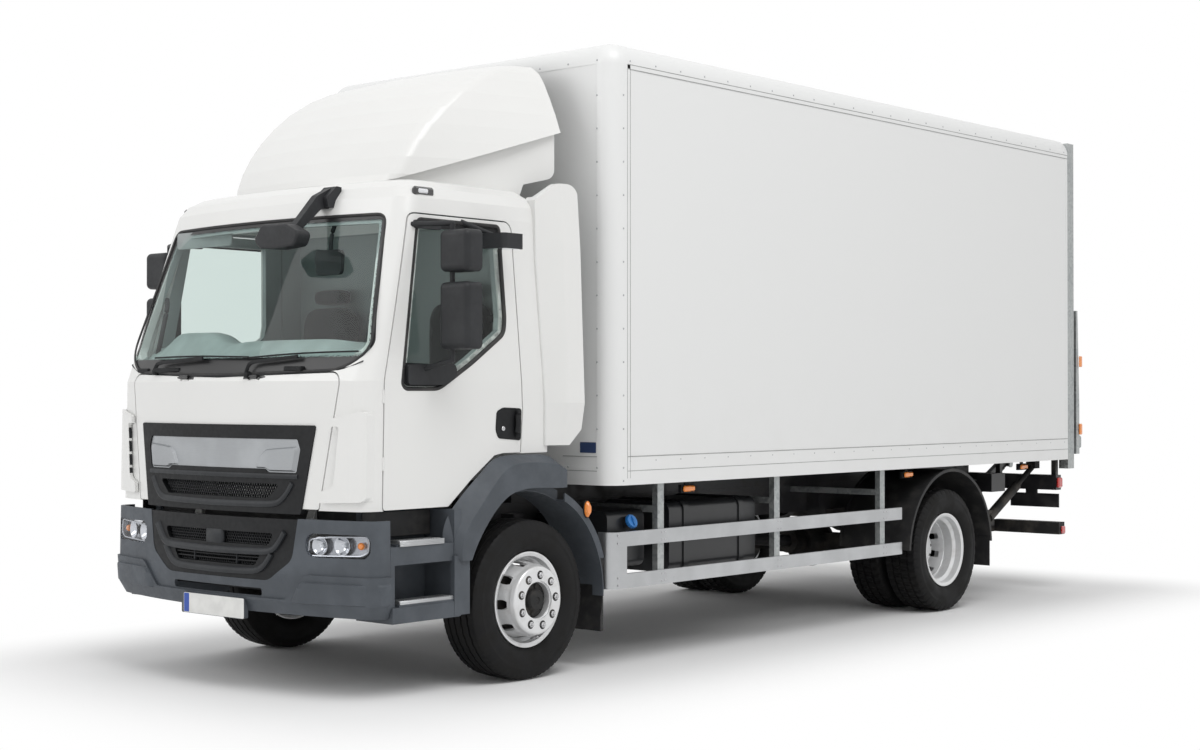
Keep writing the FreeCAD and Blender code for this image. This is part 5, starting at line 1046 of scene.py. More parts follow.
LAMP_OUTLINE = [(0.697, 0.752), (0.704, 0.832), (0.828, 0.848), (1.050, 0.858), (1.068, 0.835),
                (1.062, 0.778), (1.022, 0.758), (0.751, 0.750)]
BULB = [(-0.024, 0.002), (-0.024, 0.010), (-0.012, 0.010), (-0.006, 0.006), (-0.005, 0.001)]
TURN_BULB = [(-0.022, 0.001), (-0.022, 0.019), (-0.002, 0.019), (0.006, 0.012), (0.008, 0.001)]
LAMP_BOWLS = ((0.765, 0.802, 0.043), (0.905, 0.806, 0.044))
BOWL_DEPTH, BOWL_WALL, BOWL_SUNK = 0.026, 0.004, -0.016
BOWL_FACING = np.array((0.22, -1.0, 0.0)) / np.linalg.norm((0.22, -1.0, 0.0))


def bowl(x, z, radius):
    """Reflector and the spot of its bulb: a parabola turned about its axis, with a rolled rim and its back
    a wall's thickness behind."""
    t = np.linspace(0.12, 1.0, 9)
    inside = np.stack([-BOWL_DEPTH * (1 - t * t), radius * t], 1)
    rim = [(0.002, radius * 1.04), (0.002, radius * 1.12), (-0.004, radius * 1.14)]
    outside = np.stack([-BOWL_DEPTH * (1 - t * t) - BOWL_WALL, radius * t * 1.05], 1)[::-1]
    spot = laid([(x, 0.0, z)], "headlamps", lift=BOWL_SUNK)[0]
    return turned(np.concatenate([inside, rim, outside]), spot, 40, BOWL_FACING), spot


def headlamps():
    """Chrome housing behind each clear lens, with two round reflectors and an amber turn lamp."""
    outline = rounded(LAMP_OUTLINE, 0.012, 4)
    shell = plate_on(outline, "headlamps", -0.045, bevel=-0.004, sunk=0.052, run=0.015)
    bowls, bulbs = [], []
    for x, z, radius in LAMP_BOWLS:
        part, spot = bowl(x, z, radius)
        bowls.append(part)
        bulbs.append(turned(BULB, spot, 16, BOWL_FACING))
    rim = laid(np.insert(dense(outline, 0.015), 1, 0.0, axis=1), "headlamps", lift=-0.010)
    bezel = [(-0.006, -0.030), (-0.006, 0.0), (-0.002, 0.002), (0.003, 0.0), (0.003, -0.030)]
    housings = both([shell, band(rim, bezel, (0, -1, 0))])
    piece("lamp_housings", housings, "chassis", LAMP_SILVER, 40.0)
    piece("lamp_reflectors", both(bowls), "chassis", CHROME)
    piece("lamp_bulbs", both(bulbs), "chassis", BULB_GLASS)
    spot = laid([(1.012, 0.0, 0.808)], "headlamps", lift=-0.022)[0]
    amber = turned(TURN_BULB, spot, 24, (0.45, -0.9, 0))
    piece("turn_lamps", both(amber), "chassis", AMBER)


SCREEN_HALF = np.array([(0.905, 2.548), (1.034, 1.822), (0.885, 1.716)])
SCREEN_FOOT = (0.0, 1.694)
SCUTTLE_TOP = [0, 0.3, 0.885, 1.0], [1.693, 1.700, 1.716, 1.765]
SCUTTLE_FOOT = [0, 0.228, 0.622, 0.873, 0.96, 1.0], [1.686, 1.686, 1.703, 1.722, 1.742, 1.758]
SCREEN_BENDS = np.array([0.060, 0.095, 0.160, 0.3, 0.160, 0.095, 0.060])
SEAL_SECTION = [(-0.007, -0.004), (-0.007, 0.001), (-0.003, 0.003), (0.004, 0.003), (0.008, 0.0),
                (0.008, -0.004)]


def screen_path():
    """The windscreen's outline, mirrored and with its corners rounded, as (x, z)."""
    outline = np.concatenate([SCREEN_HALF, [SCREEN_FOOT], SCREEN_HALF[::-1] * (-1, 1)])
    return dense(rounded(outline, SCREEN_BENDS), 0.03)


def screen_trim():
    """Rubber seal round the windscreen, and under it the black scuttle, a strip whose top and foot are
    broken lines in x, with three clips."""
    seal = band(on_nose(screen_path()), SEAL_SECTION, (0, -1, 0))
    piece("screen_seal", seal, "cab", RUBBER, 60.0)
    x = np.linspace(-1.0, 1.0, 61)
    top, foot = np.interp(np.abs(x), *SCUTTLE_TOP), np.interp(np.abs(x), *SCUTTLE_FOOT)
    edges = ((top, 0.02), (top, -0.001), (foot, -0.003), (foot, 0.02))
    points = np.stack([spots_of(x, nose_y(x, z, depth), z) for z, depth in edges], 1)
    piece("scuttle_strip", capped(points), "cab", GRILLE_BLACK)
    rows = []
    for clip_x, half in ((0.57, 0.07), (-0.51, 0.12), (-0.80, 0.05)):
        front = float(nose_y(clip_x, 1.72))
        rows.append((clip_x - half, clip_x + half, front - 0.012, front + 0.03, 1.712, 1.738))
    piece("scuttle_clips", blocks(rows, 0.006), "cab", GRILLE_BLACK)


WIPER_ARMS = [
    [(-0.631, 1.716), (-0.620, 1.745), (-0.611, 1.767), (-0.40, 1.778), (-0.15, 1.788)],
    [(0.253, 1.694), (0.254, 1.735), (0.270, 1.764), (0.417, 1.773), (0.60, 1.790)],
]
WIPER_BLADES = [((-0.672, 1.796), (0.231, 1.790)), ((0.243, 1.786), (0.975, 1.812))]
ARM_SECTION = [(-0.005, -0.010), (0.005, -0.010), (0.006, 0.0), (0.004, 0.009), (-0.004, 0.009),
               (-0.006, 0)]
PIVOT_CAP = [(-0.028, 0.002), (-0.028, 0.020), (0.0, 0.017), (0.006, 0.010), (0.007, 0.001)]


def wipers():
    """Two parked wipers, all lying off the glass: a pivot cap, a bent arm, and a blade on a spine, both
    arched up as half a sine wave."""
    parts = []
    spine, blade = rectangle(-0.004, 0.004, -0.004, 0.005), rectangle(-0.0065, 0.0065, -0.001, 0.001)
    for arm, (start, end) in zip(WIPER_ARMS, WIPER_BLADES):
        path = on_nose(softened(arm, 2), -0.024)
        parts.append(swept(path, ARM_SECTION))
        parts.append(turned(PIVOT_CAP, path[0], 20, (0, -1, 0)))
        t = np.linspace(0, 1, 25)[:, None]
        line = np.array(start) * (1 - t) + np.array(end) * t
        line[:, 1] += 0.006 * np.sin(np.pi * t[:, 0])
        parts += [swept(on_nose(line, -0.018), spine), swept(on_nose(line, -0.006), blade)]
    made = piece("wiper_set", parts, "cab", GRILLE_BLACK, 40.0)
    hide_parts("wipers")


def roof_markers():
    """Small marker lamp on the roof edge above each door."""
    y0, y1 = AXLE_Y - 0.762, AXLE_Y - 0.614
    bases = blocks([(0.972, 1.006, y0, y1, 2.648, 2.698)], 0.012)
    piece("roof_markers", both(bases), "cab", BLACK_GLOSS)
    lenses = blocks([(0.985, 1.012, y0 + 0.02, y0 + 0.10, 2.658, 2.690)], 0.010)
    piece("roof_marker_lenses", both(lenses), "cab", CLEAR_LENS)


VANE_Z, VANE_X = (1.112, 1.424), (0.884, 0.914)
VANE_LEAN = (VANE_X[1] - VANE_X[0]) / (VANE_Z[1] - VANE_Z[0])


def vane_opening_shade():
    """Black plates one above another on the inner wall of each corner vane, which leans out as it rises:
    painted shade that stands in for the dark inside of its openings."""
    cells = []
    for z in (1.135, 1.212, 1.289, 1.366):
        x = np.interp(z, VANE_Z, VANE_X) - 0.0012
        front = nose_y(x, z)
        cell = rounded(rectangle(front - 0.023, front - 0.004, z - 0.031, z + 0.031), 0.003, 3)
        points, faces = flat_plate(cell, x + 0.003, x, 0, 0.0004)
        points[:, 0] += (points[:, 2] - z) * VANE_LEAN
        cells.append((points, faces))
    # Black plates of painted shade in the vane's openings.
    piece("vane_opening_shade", both(cells), "cab", MESH_BLACK)


LIP_SECTION = [(-0.020, 0.0), (-0.019, 0.012), (-0.010, 0.018), (0.006, 0.014), (0.016, 0.004),
               (0.018, 0.0)]
BAR_SECTION = [(-0.014, 0.0), (-0.012, 0.010), (0.0, 0.015), (0.012, 0.010), (0.014, 0.0)]
BAR_Z, LID_LIFT = 1.158, -0.001
UPPER_LIP = [(0.600, 1.128), (0.555, 1.060), (0.500, 1.018), (0.40, 1.012), (0.0, 1.008)]
LOWER_LIPS = [[(0.548, 0.868), (0.500, 0.800), (0.455, 0.764), (0.36, 0.757), (0.0, 0.753)],
              [(0.455, 0.752), (0.410, 0.690), (0.360, 0.658), (0.28, 0.650), (0.0, 0.647)]]


def lip(rows, lift=0.0):
    """Boat-shaped lip under an opening: a moulding carried down one end, along the foot and up the
    other."""
    half = np.array(rows, float)
    path = np.concatenate([half, half[::-1] * (-1, 1)])
    return band(on_nose(dense(softened(path, 3), 0.025, False), lift), LIP_SECTION, (0, -1, 0), False)


def grille_lips():
    """Moulded lips round the three mesh openings, the bar under the silver panel, and the posts between the
    meshes."""
    x = np.linspace(-0.640, 0.640, 41)
    bar = band(spots_of(x, nose_y(x, BAR_Z, LID_LIFT), BAR_Z), BAR_SECTION, (0, -1, 0), False)
    piece("grille_lips", [lip(UPPER_LIP, LID_LIFT), bar], "front_lid", LIP_GREY, 50.0)
    posts = []
    for x0, x1 in ((0.180, 0.186), (-0.186, -0.180)):
        front = float(nose_y(x0, 0.668))
        posts.append((x0, x1, front + 0.004, front + 0.04, 0.668, 0.760))
    front = float(nose_y(0.0, 0.83))
    middle_post = blocks([(-0.075, 0.075, front - 0.004, front + 0.03, 0.776, 0.868)], 0.012)
    lower = [lip(rows) for rows in LOWER_LIPS] + [blocks(posts, 0.001), middle_post]
    piece("lower_lips", lower, "chassis", LIP_GREY, 50.0)


def bumper_mouldings():
    """Raised lower corners of the bumper: a front pad with a slanting inner end, and a side pad behind the
    seam."""
    front = [(0.585, 0.492), (0.640, 0.598), (0.675, 0.615), (1.075, 0.615), (1.085, 0.605), (1.085, 0.502)]
    side = truck([(-1.130, 0.497), (-1.130, 0.615), (-1.046, 0.615), (-1.046, 0.497)], 0)
    pads = [plate_on(rounded(front, 0.016, 4), "bumper", 0.013, bevel=0.020, run=0.02, rings=5),
            plate_on(rounded(side, 0.010, 4), "bumper", 0.011, 0, 1, 0.012, 0.02)]
    piece("bumper_mouldings", both(pads), "chassis", BUMPER_GREY, 45.0)


def gap_shade_sheets():
    """Black sheets of painted shade behind the bumper's top edge, closing the gap under the cab."""
    y0, y1 = AXLE_Y - 1.085, AXLE_Y - 0.60
    # The black sheets are painted shade: they keep the gap under the cab dark.
    rows = [(-0.93, 0.93, AXLE_Y - 1.015, AXLE_Y - 1.007, 0.66, 0.984),
            (0.948, 0.954, y0, y1, 0.84, 0.974), (-0.954, -0.948, y0, y1, 0.84, 0.974)]
    piece("gap_shade_sheets", blocks(rows, 0.002), "chassis", RUBBER)


def on_side(parts, sign):
    """Parts made for the left side, mirrored where they belong to the right one."""
    return parts if sign > 0 else [flipped(part) for part in parts]


WINDOW = [(-0.905, 1.648), (-0.88, 1.622), (-0.64, 1.622), (-0.385, 1.762), (-0.128, 1.925), (-0.116, 2.01),
          (-0.14, 2.516), (-0.757, 2.516)]
WINDOW_BENDS = np.array([0.02, 0.02, 0.04, 0.04, 0.04, 0.03, 0.03, 0.03])
WINDOW_SEAL = [(-0.012, -0.018), (-0.012, -0.001), (-0.006, 0.003), (0.006, 0.003), (0.010, -0.001),
               (0.010, -0.018)]
WINDOW_HEAD = [(-0.745, 2.478), (-0.150, 2.478), (-0.148, 2.508), (-0.755, 2.508)]
WINDOW_FOOT = [(-0.893, 1.652), (-0.873, 1.633), (-0.645, 1.633), (-0.52, 1.70), (-0.56, 1.735),
               (-0.70, 1.752), (-0.893, 1.756)]
HANDLE = [(-0.196, 1.492), (-0.148, 1.512), (-0.006, 1.506), (-0.012, 1.337), (-0.184, 1.351),
          (-0.204, 1.393)]
HANDLE_RIM = [(-0.005, -0.001), (-0.005, 0.002), (-0.0035, 0.004), (0.0035, 0.004), (0.005, 0.002),
              (0.005, -0.001)]
GRIP = [(-0.046, 1.355), (-0.044, 1.38), (-0.042, 1.43), (-0.040, 1.47), (-0.040, 1.495)]
GRIP_OUT = [0.004, 0.014, 0.018, 0.014, 0.004]
LOCK = [(-0.001, 0.001), (-0.001, 0.013), (0.006, 0.013), (0.008, 0.011), (0.008, 0.006), (0.005, 0.005),
        (0.005, 0.001)]
MIRROR_Y = AXLE_Y - 0.645
MIRROR_RIM = [(-0.001, -0.002), (-0.001, 0.0), (0.004, 0.004), (0.010, 0.002), (0.010, -0.002)]
KERB_GLASS = [(1.085, -0.305), (1.205, -0.285), (1.205, -0.150), (1.095, -0.170)]


def on_door(outline):
    """Spots at rows (y, z) on the outside of the left door."""
    return laid(np.insert(outline, 0, 0.0, axis=1), "door_left", 0, 1)


def window_trim(side, sign):
    """Seal round the door's window, 1.2 % larger than the glass, and black fields at its top and front
    foot."""
    body, nodes = "door_" + side, ("door_left", "door_glass_left")
    window = dense(rounded(truck(WINDOW, 0), WINDOW_BENDS), 0.03)
    centre = window.mean(axis=0)
    seal = band(on_door(centre + (window - centre) * 1.012), WINDOW_SEAL, (1, 0, 0))
    piece("window_seal_" + side, on_side([seal], sign), body, RUBBER, 60.0)
    fields = [plate_on(truck(WINDOW_HEAD, 0), nodes, 0.0015, 0, 1, 0.0006),
              plate_on(rounded(truck(WINDOW_FOOT, 0), 0.02), nodes, 0.004, 0, 1, 0.002)]
    piece("window_fields_" + side, on_side(fields, sign), body, GRILLE_BLACK)


def door_handle(side, sign):
    """Dished cup with a raised rim, a grip bowed out over it, and the barrel of the lock."""
    body = "door_" + side
    outline = rounded(truck(HANDLE, 0), 0.014, 5)
    cup = plate_on(outline, "door_left", 0.0012, 0, 1, 0.0006)
    rim = band(on_door(dense(outline, 0.02)), HANDLE_RIM, (1, 0, 0))
    grip = on_door(truck(GRIP, 0))
    grip[:, 0] += GRIP_OUT
    bar = swept(softened(grip, 2), circle(1.0, 12) * (0.012, 0.020))
    piece("door_handle_" + side, on_side([cup, rim, bar], sign), body, GRILLE_BLACK)
    barrel = turned(LOCK, on_door(truck([(-0.150, 1.40)], 0))[0], 24, (1, 0, 0))
    piece("door_lock_" + side, on_side([barrel], sign), body, BRIGHT_STEEL)


def mirror_faces(side, sign):
    """Glass and rim of both door mirrors, and on the left side the glass of the kerb mirror, which looks
    down."""
    body, y = "door_" + side, MIRROR_Y
    glasses, frames = [], []
    for z0, z1 in ((2.232, 2.452), (1.826, 2.178)):
        outline = rounded(rectangle(1.197, 1.375, z0 + 0.017, z1 - 0.017), 0.02)
        glasses.append(flat_plate(outline, y - 0.001, y + 0.0015, 1, 0.001))
        frames.append(band(np.insert(dense(outline, 0.03), 1, y, axis=1), MIRROR_RIM, (0, 1, 0)))
    if sign > 0:
        glasses.append(flat_plate(rounded(truck(KERB_GLASS), 0.02), 2.3865, 2.3835, 2, 0.001))
    piece("mirror_glasses_" + side, on_side(glasses, sign), body, MIRROR_GLASS)
    piece("mirror_rims_" + side, on_side(frames, sign), body, MIRROR_BLACK, 50.0)


def front_mirror_glass():
    """Glass of the mirror that hangs before the windscreen, facing back."""
    y = AXLE_Y - 1.150
    outline = [(0.300, 2.392), (0.590, 2.392), (0.606, 2.435)]
    outline += [(0.52, 2.476), (0.335, 2.480), (0.282, 2.415)]
    glass = flat_plate(rounded(outline, 0.02), y - 0.001, y + 0.002, 1, 0.001)
    piece("kerb_mirror_glass", glass, "cab", MIRROR_GLASS)


# ---------------------------------------------------------------- steps and lamps along the side
TREAD_X, TREAD_DEPTH = 1.117, 0.085
TREADS = ((0.812, -0.975, -0.655), (0.500, -0.975, -0.570))
TOOTH, TOOTH_PITCH, BAR_PITCH, GROOVE_PITCH = 0.0065, 0.018, 0.027, 0.008
STUD = [(0, 0.008), (0.003, 0.0065), (0.0032, 0.0045), (0.0005, 0.004)]


def step_plates():
    """On each step, an aluminium tread: a ribbed nosing, teeth across and bars along, with round studs
    behind."""
    nosings, studs = [], []
    x = TREAD_X
    for z, y0, y1 in TREADS:
        y0, y1 = AXLE_Y + y0, AXLE_Y + y1
        nosings.append(blocks([(x, x + 0.005, y0, y1, z - 0.012, z + 0.018)], 0.0015))
        teeth = []
        for y in y0 + TOOTH_PITCH * np.arange(int((y1 - y0) / TOOTH_PITCH)):
            teeth.append((x - TREAD_DEPTH, x + 0.001, y, y + TOOTH, z + 0.002, z + 0.020))
        for back in x - TREAD_DEPTH + BAR_PITCH * np.arange(4):
            teeth.append((back, back + 0.004, y0, y1, z + 0.002, z + 0.016))
        for low in z - 0.006 + GROOVE_PITCH * np.arange(3):
            teeth.append((x + 0.004, x + 0.007, y0 + 0.004, y1 - 0.004, low, low + 0.003))
        nosings.append(blocks(teeth, 0.0010))
        across, along = np.meshgrid(np.arange(0.955, x - 0.095, 0.025), np.arange(y0 + 0.015, y1, 0.03))
        spots = spots_of(across.ravel(), along.ravel(), z + 0.001)
        studs.append(spread(knob(STUD, 8), spots, (0, 0, 1)))
    piece("step_nosings", both(nosings), "chassis", ALUMINIUM, 40.0)
    piece("step_studs", both(studs), "chassis", GRILLE_BLACK, 50.0)


def oval(y, z, half_y, half_z):
    """Outline of an ellipse from its middle and its half sizes: a circle of radius 1, stretched."""
    return circle(1.0, 24) * (half_y, half_z) + (y, z)


def side_lamps():
    """Amber turn lamp on each wheel arch and amber markers under the bottom rail, each on a black base."""
    y, z = AXLE_Y + 0.455, 0.930
    bases = [plate_on(oval(y, z, 0.030, 0.052), "step_wells", 0.006, 0, 1, 0.003)]
    lenses = [plate_on(oval(y, z, 0.024, 0.046), "step_wells", 0.026, 0, 1, 0.014, rings=5)]
    for y, x in ((1.342, 1.2), (3.875, 1.2), (5.66, 1.16)):
        y += AXLE_Y
        bases.append(blocks([(x - 0.030, x - 0.004, y - 0.065, y + 0.065, 0.990, 1.040),
                             (x - 0.024, x - 0.012, y - 0.020, y + 0.020, 1.030, 1.0605)], 0.003))
        lenses.append(blocks([(x - 0.006, x + 0.014, y - 0.054, y + 0.054, 0.997, 1.033)], 0.009))
    piece("side_lamp_bases", both(bases), "chassis", GRILLE_BLACK, 40.0)
    piece("side_lamp_lenses", both(lenses), "chassis", AMBER, 40.0)


def rear_lamps():
    """Lamp clusters on the ends of the rear bar, red end lamps, and amber lamps on the platform's edges."""
    y, z0, z1 = AXLE_Y + 6.215, 0.835, 0.915
    frame_row = (0.800, 1.195, y, y + 0.012, 0.825, 0.925)
    red = [(0.925, 1.045, y + 0.010, y + 0.034, z0, z1), (1.198, 1.224, y - 0.080, y - 0.010, 0.833, z1),
           (1.199, 1.213, y - 0.005, y + 0.055, 0.460, 0.520)]
    amber = [(1.060, 1.180, y + 0.010, y + 0.034, z0, z1)]
    clear = [(0.815, 0.910, y + 0.010, y + 0.030, z0, z1)]
    piece("rear_lamp_frames", both(blocks([frame_row], 0.004)), "chassis", GRILLE_BLACK)
    for name, rows, material in (("red", red, RED), ("amber", amber, AMBER), ("clear", clear, CLEAR_LENS)):
        piece("rear_lamps_" + name, both(blocks(rows, 0.010)), "chassis", material)
    low, high = (np.array(c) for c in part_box("lift_platform"))
    x, y = high[0], (low[1] + high[1]) / 2
    rows = [(x - 0.001, x + 0.014, y - 0.02, y + 0.02, z - 0.045, z + 0.045) for z in (1.30, 1.85)]
    piece("platform_lamps", both(blocks(rows, 0.006)), "lift_platform", AMBER)


SMALL_TANK_Y = 0.900
CAP_R = 0.041
CAP = [(0.0, 0.002), (0.0, CAP_R), (0.018, CAP_R), (0.022, 0.038), (0.022, 0.002)]
CAP_RIB = [(0, 0.003), (0.016, 0.003), (0.018, 0.001)]


def tank_cap():
    """Blue filler cap on the small tank's neck: a turned cap, 18 finger ribs on its rim and a bar
    across."""
    facing = np.array([0.906, 0.0, 0.422])
    spot = np.array([1.118, AXLE_Y + SMALL_TANK_Y, 0.835]) - facing * 0.012
    cap = turned(CAP, spot, 36, facing)
    turn = np.radians(np.arange(18) * 20.0)[:, None]
    out, up = cross_pair(facing)
    rim = spot + CAP_R * (np.cos(turn) * out + np.sin(turn) * up) + facing * 0.001
    ribs = spread(knob(CAP_RIB, 6), rim, facing)
    top = spot + facing * 0.022
    handle = swept([top - up * 0.03, spot + facing * 0.030, top + up * 0.03], circle(0.006, 8))
    piece("filler_cap", [cap, ribs, handle], "chassis", CAP_BLUE, 40.0)


def guard_bolts():
    """Dome-headed bolts that hold the planks to their posts, in two rows on the bays' posts and one on the
    first."""
    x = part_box("side_guards")[1][0]
    rows = [AXLE_Y + y + offset for y in (1.1, 2.3, 3.57) for offset in (-0.016, 0.016)] + [AXLE_Y + 0.68]
    spots = [(x, y, z) for y in rows for z in (0.476, 0.518, 0.720, 0.765)]
    piece("guard_bolts", both(spread(RIVET, spots, (1, 0, 0))), "chassis", BRIGHT_STEEL)


# ---------------------------------------------------------------- cabin
def signed_power(values, power):
    """The size of each value raised to a power, with its sign kept."""
    return np.sign(values) * np.abs(values) ** power


def cushion(centre, half, edge, bolster):
    """Padded block: a sphere whose cosines are raised to a small power, so that sides stay near flat and
    corners round; its long sides may rise into bolsters, as the square of the distance past 0.55 of the
    half width."""
    v = np.linspace(-np.pi / 2, np.pi / 2, 41)[1:-1, None]
    u = np.linspace(0, 2 * np.pi, 96, endpoint=False)[None]
    x = signed_power(np.cos(v), edge) * signed_power(np.cos(u), edge)
    y = signed_power(np.cos(v), edge) * signed_power(np.sin(u), edge)
    z = signed_power(np.sin(v), edge) * (1 - 0.10 * (x**4 + y**4)) + 0 * u
    z = z + bolster * np.clip(np.abs(x) - 0.55, 0, 1) ** 2 * (z > 0)
    return capped(np.stack([x, y, z], -1) * half + centre)


VOXEL, PRESSURE, CLOTH_STEPS = 0.011, 4.0, 15


def puffed(made, cap):
    """The cover's fabric blown up a little: the mesh is made even, simulated as cloth under pressure, and
    no point moves further than cap."""
    remesh = made.modifiers.new("even", "REMESH")
    remesh.mode = "VOXEL"
    remesh.voxel_size = VOXEL
    bake(made)
    before = coordinates(made.data)
    cloth = made.modifiers.new("cloth", "CLOTH")
    cloth.settings.use_pressure = True
    cloth.settings.uniform_pressure_force = PRESSURE
    cloth.settings.effector_weights.gravity = 0.0
    scene = bpy.context.scene
    for step in range(1, CLOTH_STEPS + 1):
        scene.frame_set(step)
    bake(made)
    scene.frame_set(1)
    moved = coordinates(made.data) - before
    length = np.linalg.norm(moved, axis=1)[:, None]
    moved *= np.minimum(1.0, cap / np.maximum(length, 1e-9))
    made.data.vertices.foreach_set("co", (before + moved).astype(np.float32).ravel())
    made.data.polygons.foreach_set("use_smooth", np.ones(len(made.data.polygons), bool))
    made.data.update()


def bake(made):
    """Puts what the object's modifiers give in the place of its mesh."""
    graph = bpy.context.evaluated_depsgraph_get()
    mesh = bpy.data.meshes.new_from_object(made.evaluated_get(graph))
    made.modifiers.clear()
    made.data = mesh


def seats():
    """Two seats: a moulded base, and a cushion, back and headrest under cloth."""
    y = AXLE_Y
    for side, sign in SIDES:
        x = sign * 0.56
        base = blocks([(x - 0.21, x + 0.21, y - 0.36, y + 0.02, 1.325, 1.44),
                       (x - 0.235, x + 0.235, y - 0.40, y + 0.035, 1.435, 1.475)], 0.02)
        made = piece("seat_base_" + side, base, "cab", TRIM_GREY)
        if sign > 0:
            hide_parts("seats")
        pads = [("seat_cushion_", (x, y - 0.195, 1.522), (0.235, 0.222, 0.055), 0.35),
                ("seat_back_", (x, y + 0.023, 1.86), (0.225, 0.062, 0.27), 0.0),
                ("headrest_", (x, y + 0.030, 2.185), (0.135, 0.045, 0.045), 0.0)]
        for name, centre, half, bolster in pads:
            pad = piece(name + side, cushion(centre, half, 0.34, bolster), "cab", CLOTH)
            puffed(pad, 0.008)


def cabin_trim():
    """Interior mirror on its stem, sun visor, pillar handles and the seats' belts."""
    y = AXLE_Y - 0.93
    stem = tube(softened([(0.526, y + 0.05, 2.548), (0.528, y, 2.45), (0.538, y - 0.01, 2.34)]), 0.012, 10)
    head = rounded([(0.436, 2.232), (0.640, 2.232), (0.648, 2.366), (0.430, 2.373)], 0.03)
    paddle = flat_plate(head, y - 0.03, y, 1, 0.008)
    piece("screen_mirror", [stem, paddle], "cab", MIRROR_BLACK)
    visor = rounded(rectangle(-0.86, -0.35, 2.44, 2.535), 0.02)
    visor = flat_plate(visor, AXLE_Y - 0.90, AXLE_Y - 0.915, 1, 0.005)
    piece("sun_visor", visor, "cab", VISOR_GREY)
    rail = truck([(0.955, -0.99, 1.80), (0.915, -1.0, 1.85), (0.895, -0.985, 1.98), (0.90, -0.95, 2.10),
                  (0.935, -0.93, 2.15)])
    piece("pillar_handles", both(tube(softened(rail), 0.014, 12)), "cab", MIRROR_BLACK)
    belt = softened(truck([(0.86, 0.10, 2.05), (0.70, -0.045, 1.98), (0.40, -0.06, 1.66)]), 3)
    webbing = rectangle(-0.0015, 0.0015, -0.022, 0.022)
    piece("belts", both(swept(belt, webbing)), "cab", RUBBER)


def bell(x, middle_x, width, power):
    """Flat-topped bell: e to the minus power of the distance from its middle over its width."""
    return np.exp(-(((x - middle_x) / width) ** power))


def dash_top():
    """Shelf behind the windscreen that swells into a hood over the driver's gauges: the height is a
    flat-topped bell across, and the section rounds off towards the seats."""
    x = np.linspace(-0.97, 0.97, 81)
    foot, shelf = 1.70, 1.772
    height = 1.865 + 0.080 * bell(x, -0.56, 0.27, 4) + 0.022 * bell(x, 0.30, 0.42, 6)
    front = nose_y(x, 1.75, 0.045)
    back = AXLE_Y - 0.875 - 0.06 * bell(x, 0.3, 0.5, 4)
    rows = [(front, foot), (front, shelf), (front + 0.07, height * 0.4 + shelf * 0.6)]
    rows += [(front + 0.15, height - 0.004), (back - 0.05, height), (back - 0.015, height - 0.006)]
    rows += [(back, height - 0.024), (back - 0.005, foot)]
    points = np.stack([spots_of(x, y, z) for y, z in rows], 1)
    piece("dash_top", capped(points), "cab", TRIM_GREY, 50.0)


# ---------------------------------------------------------------- rear of the box
SLAT_PITCH, SLAT_STEPS, SLAT_SWELL = 0.078, 8, 0.0045
RAIL_HEIGHT = 0.08


def shutter_slats():
    """Roller shutter face: the swell of each slat is a sine cut off flat, between narrow joints, over a
    bottom rail with its grip."""
    low, high = (np.array(c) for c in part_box("roller_shutter"))
    x0, x1, y, foot = low[0] + 0.03, high[0] - 0.03, high[1], low[2]
    count = int((high[2] - 0.01 - foot - RAIL_HEIGHT) / SLAT_PITCH)
    t = np.tile(np.linspace(0, 1, SLAT_STEPS, endpoint=False), count)
    z = foot + RAIL_HEIGHT + (np.repeat(np.arange(count), SLAT_STEPS) + t) * SLAT_PITCH
    face = y + 0.0005 + SLAT_SWELL * np.clip(np.sin(np.pi * t) * 2.2, 0, 1)
    edges = ((x0, face), (x1, face), (x1, y - 0.001), (x0, y - 0.001))
    points = np.stack([spots_of(*edge, z) for edge in edges], 1)
    piece("shutter_slats", capped(points), "chassis", SHUTTER, 30.0)
    rail = blocks([(x0, x1, y - 0.001, y + 0.009, foot + 0.004, foot + 0.076)], 0.003)
    grip = blocks([(-0.09, 0.09, y + 0.006, y + 0.030, foot + 0.030, foot + 0.052),
                   (-0.02, 0.02, y + 0.006, y + 0.022, foot + 0.10, foot + 0.20)], 0.004)
    piece("shutter_rail", rail, "chassis", ALUMINIUM)
    piece("shutter_grip", grip, "chassis", BRIGHT_STEEL)


rivets()
box_trims()
grille_mesh()
badge_wings()
number_plate()
headlamps()
screen_trim()
wipers()
roof_markers()
vane_opening_shade()
grille_lips()
gap_shade_sheets()
bumper_mouldings()
for side, sign in SIDES:
    window_trim(side, sign)
    door_handle(side, sign)
    mirror_faces(side, sign)
front_mirror_glass()
step_plates()
side_lamps()
rear_lamps()
tank_cap()
guard_bolts()
seats()
cabin_trim()
dash_top()
shutter_slats()


# ---------------------------------------------------------------- camera and light
SEEN_TOO = ("Is Glossy Ray", "Is Transmission Ray")
SKY_LIGHT = 0.60
FLOOR_HALF = 150.0
SHADOW_HALF = (1.25, 3.9)
LAMPS = [
    ("key", (8.0, -5.0, 13.0), (0.0, 0.0, 1.5), 820.0, 9.0),
    ("front fill", (-5.0, -13.0, 7.0), (0.0, -3.0, 1.5), 300.0, 8.0),
]
EYE = (8.1906, AXLE_Y - 7.5996, 1.6017)
YAW, PITCH = math.radians(40.7387), math.radians(0.5261)
LENS = 55.856


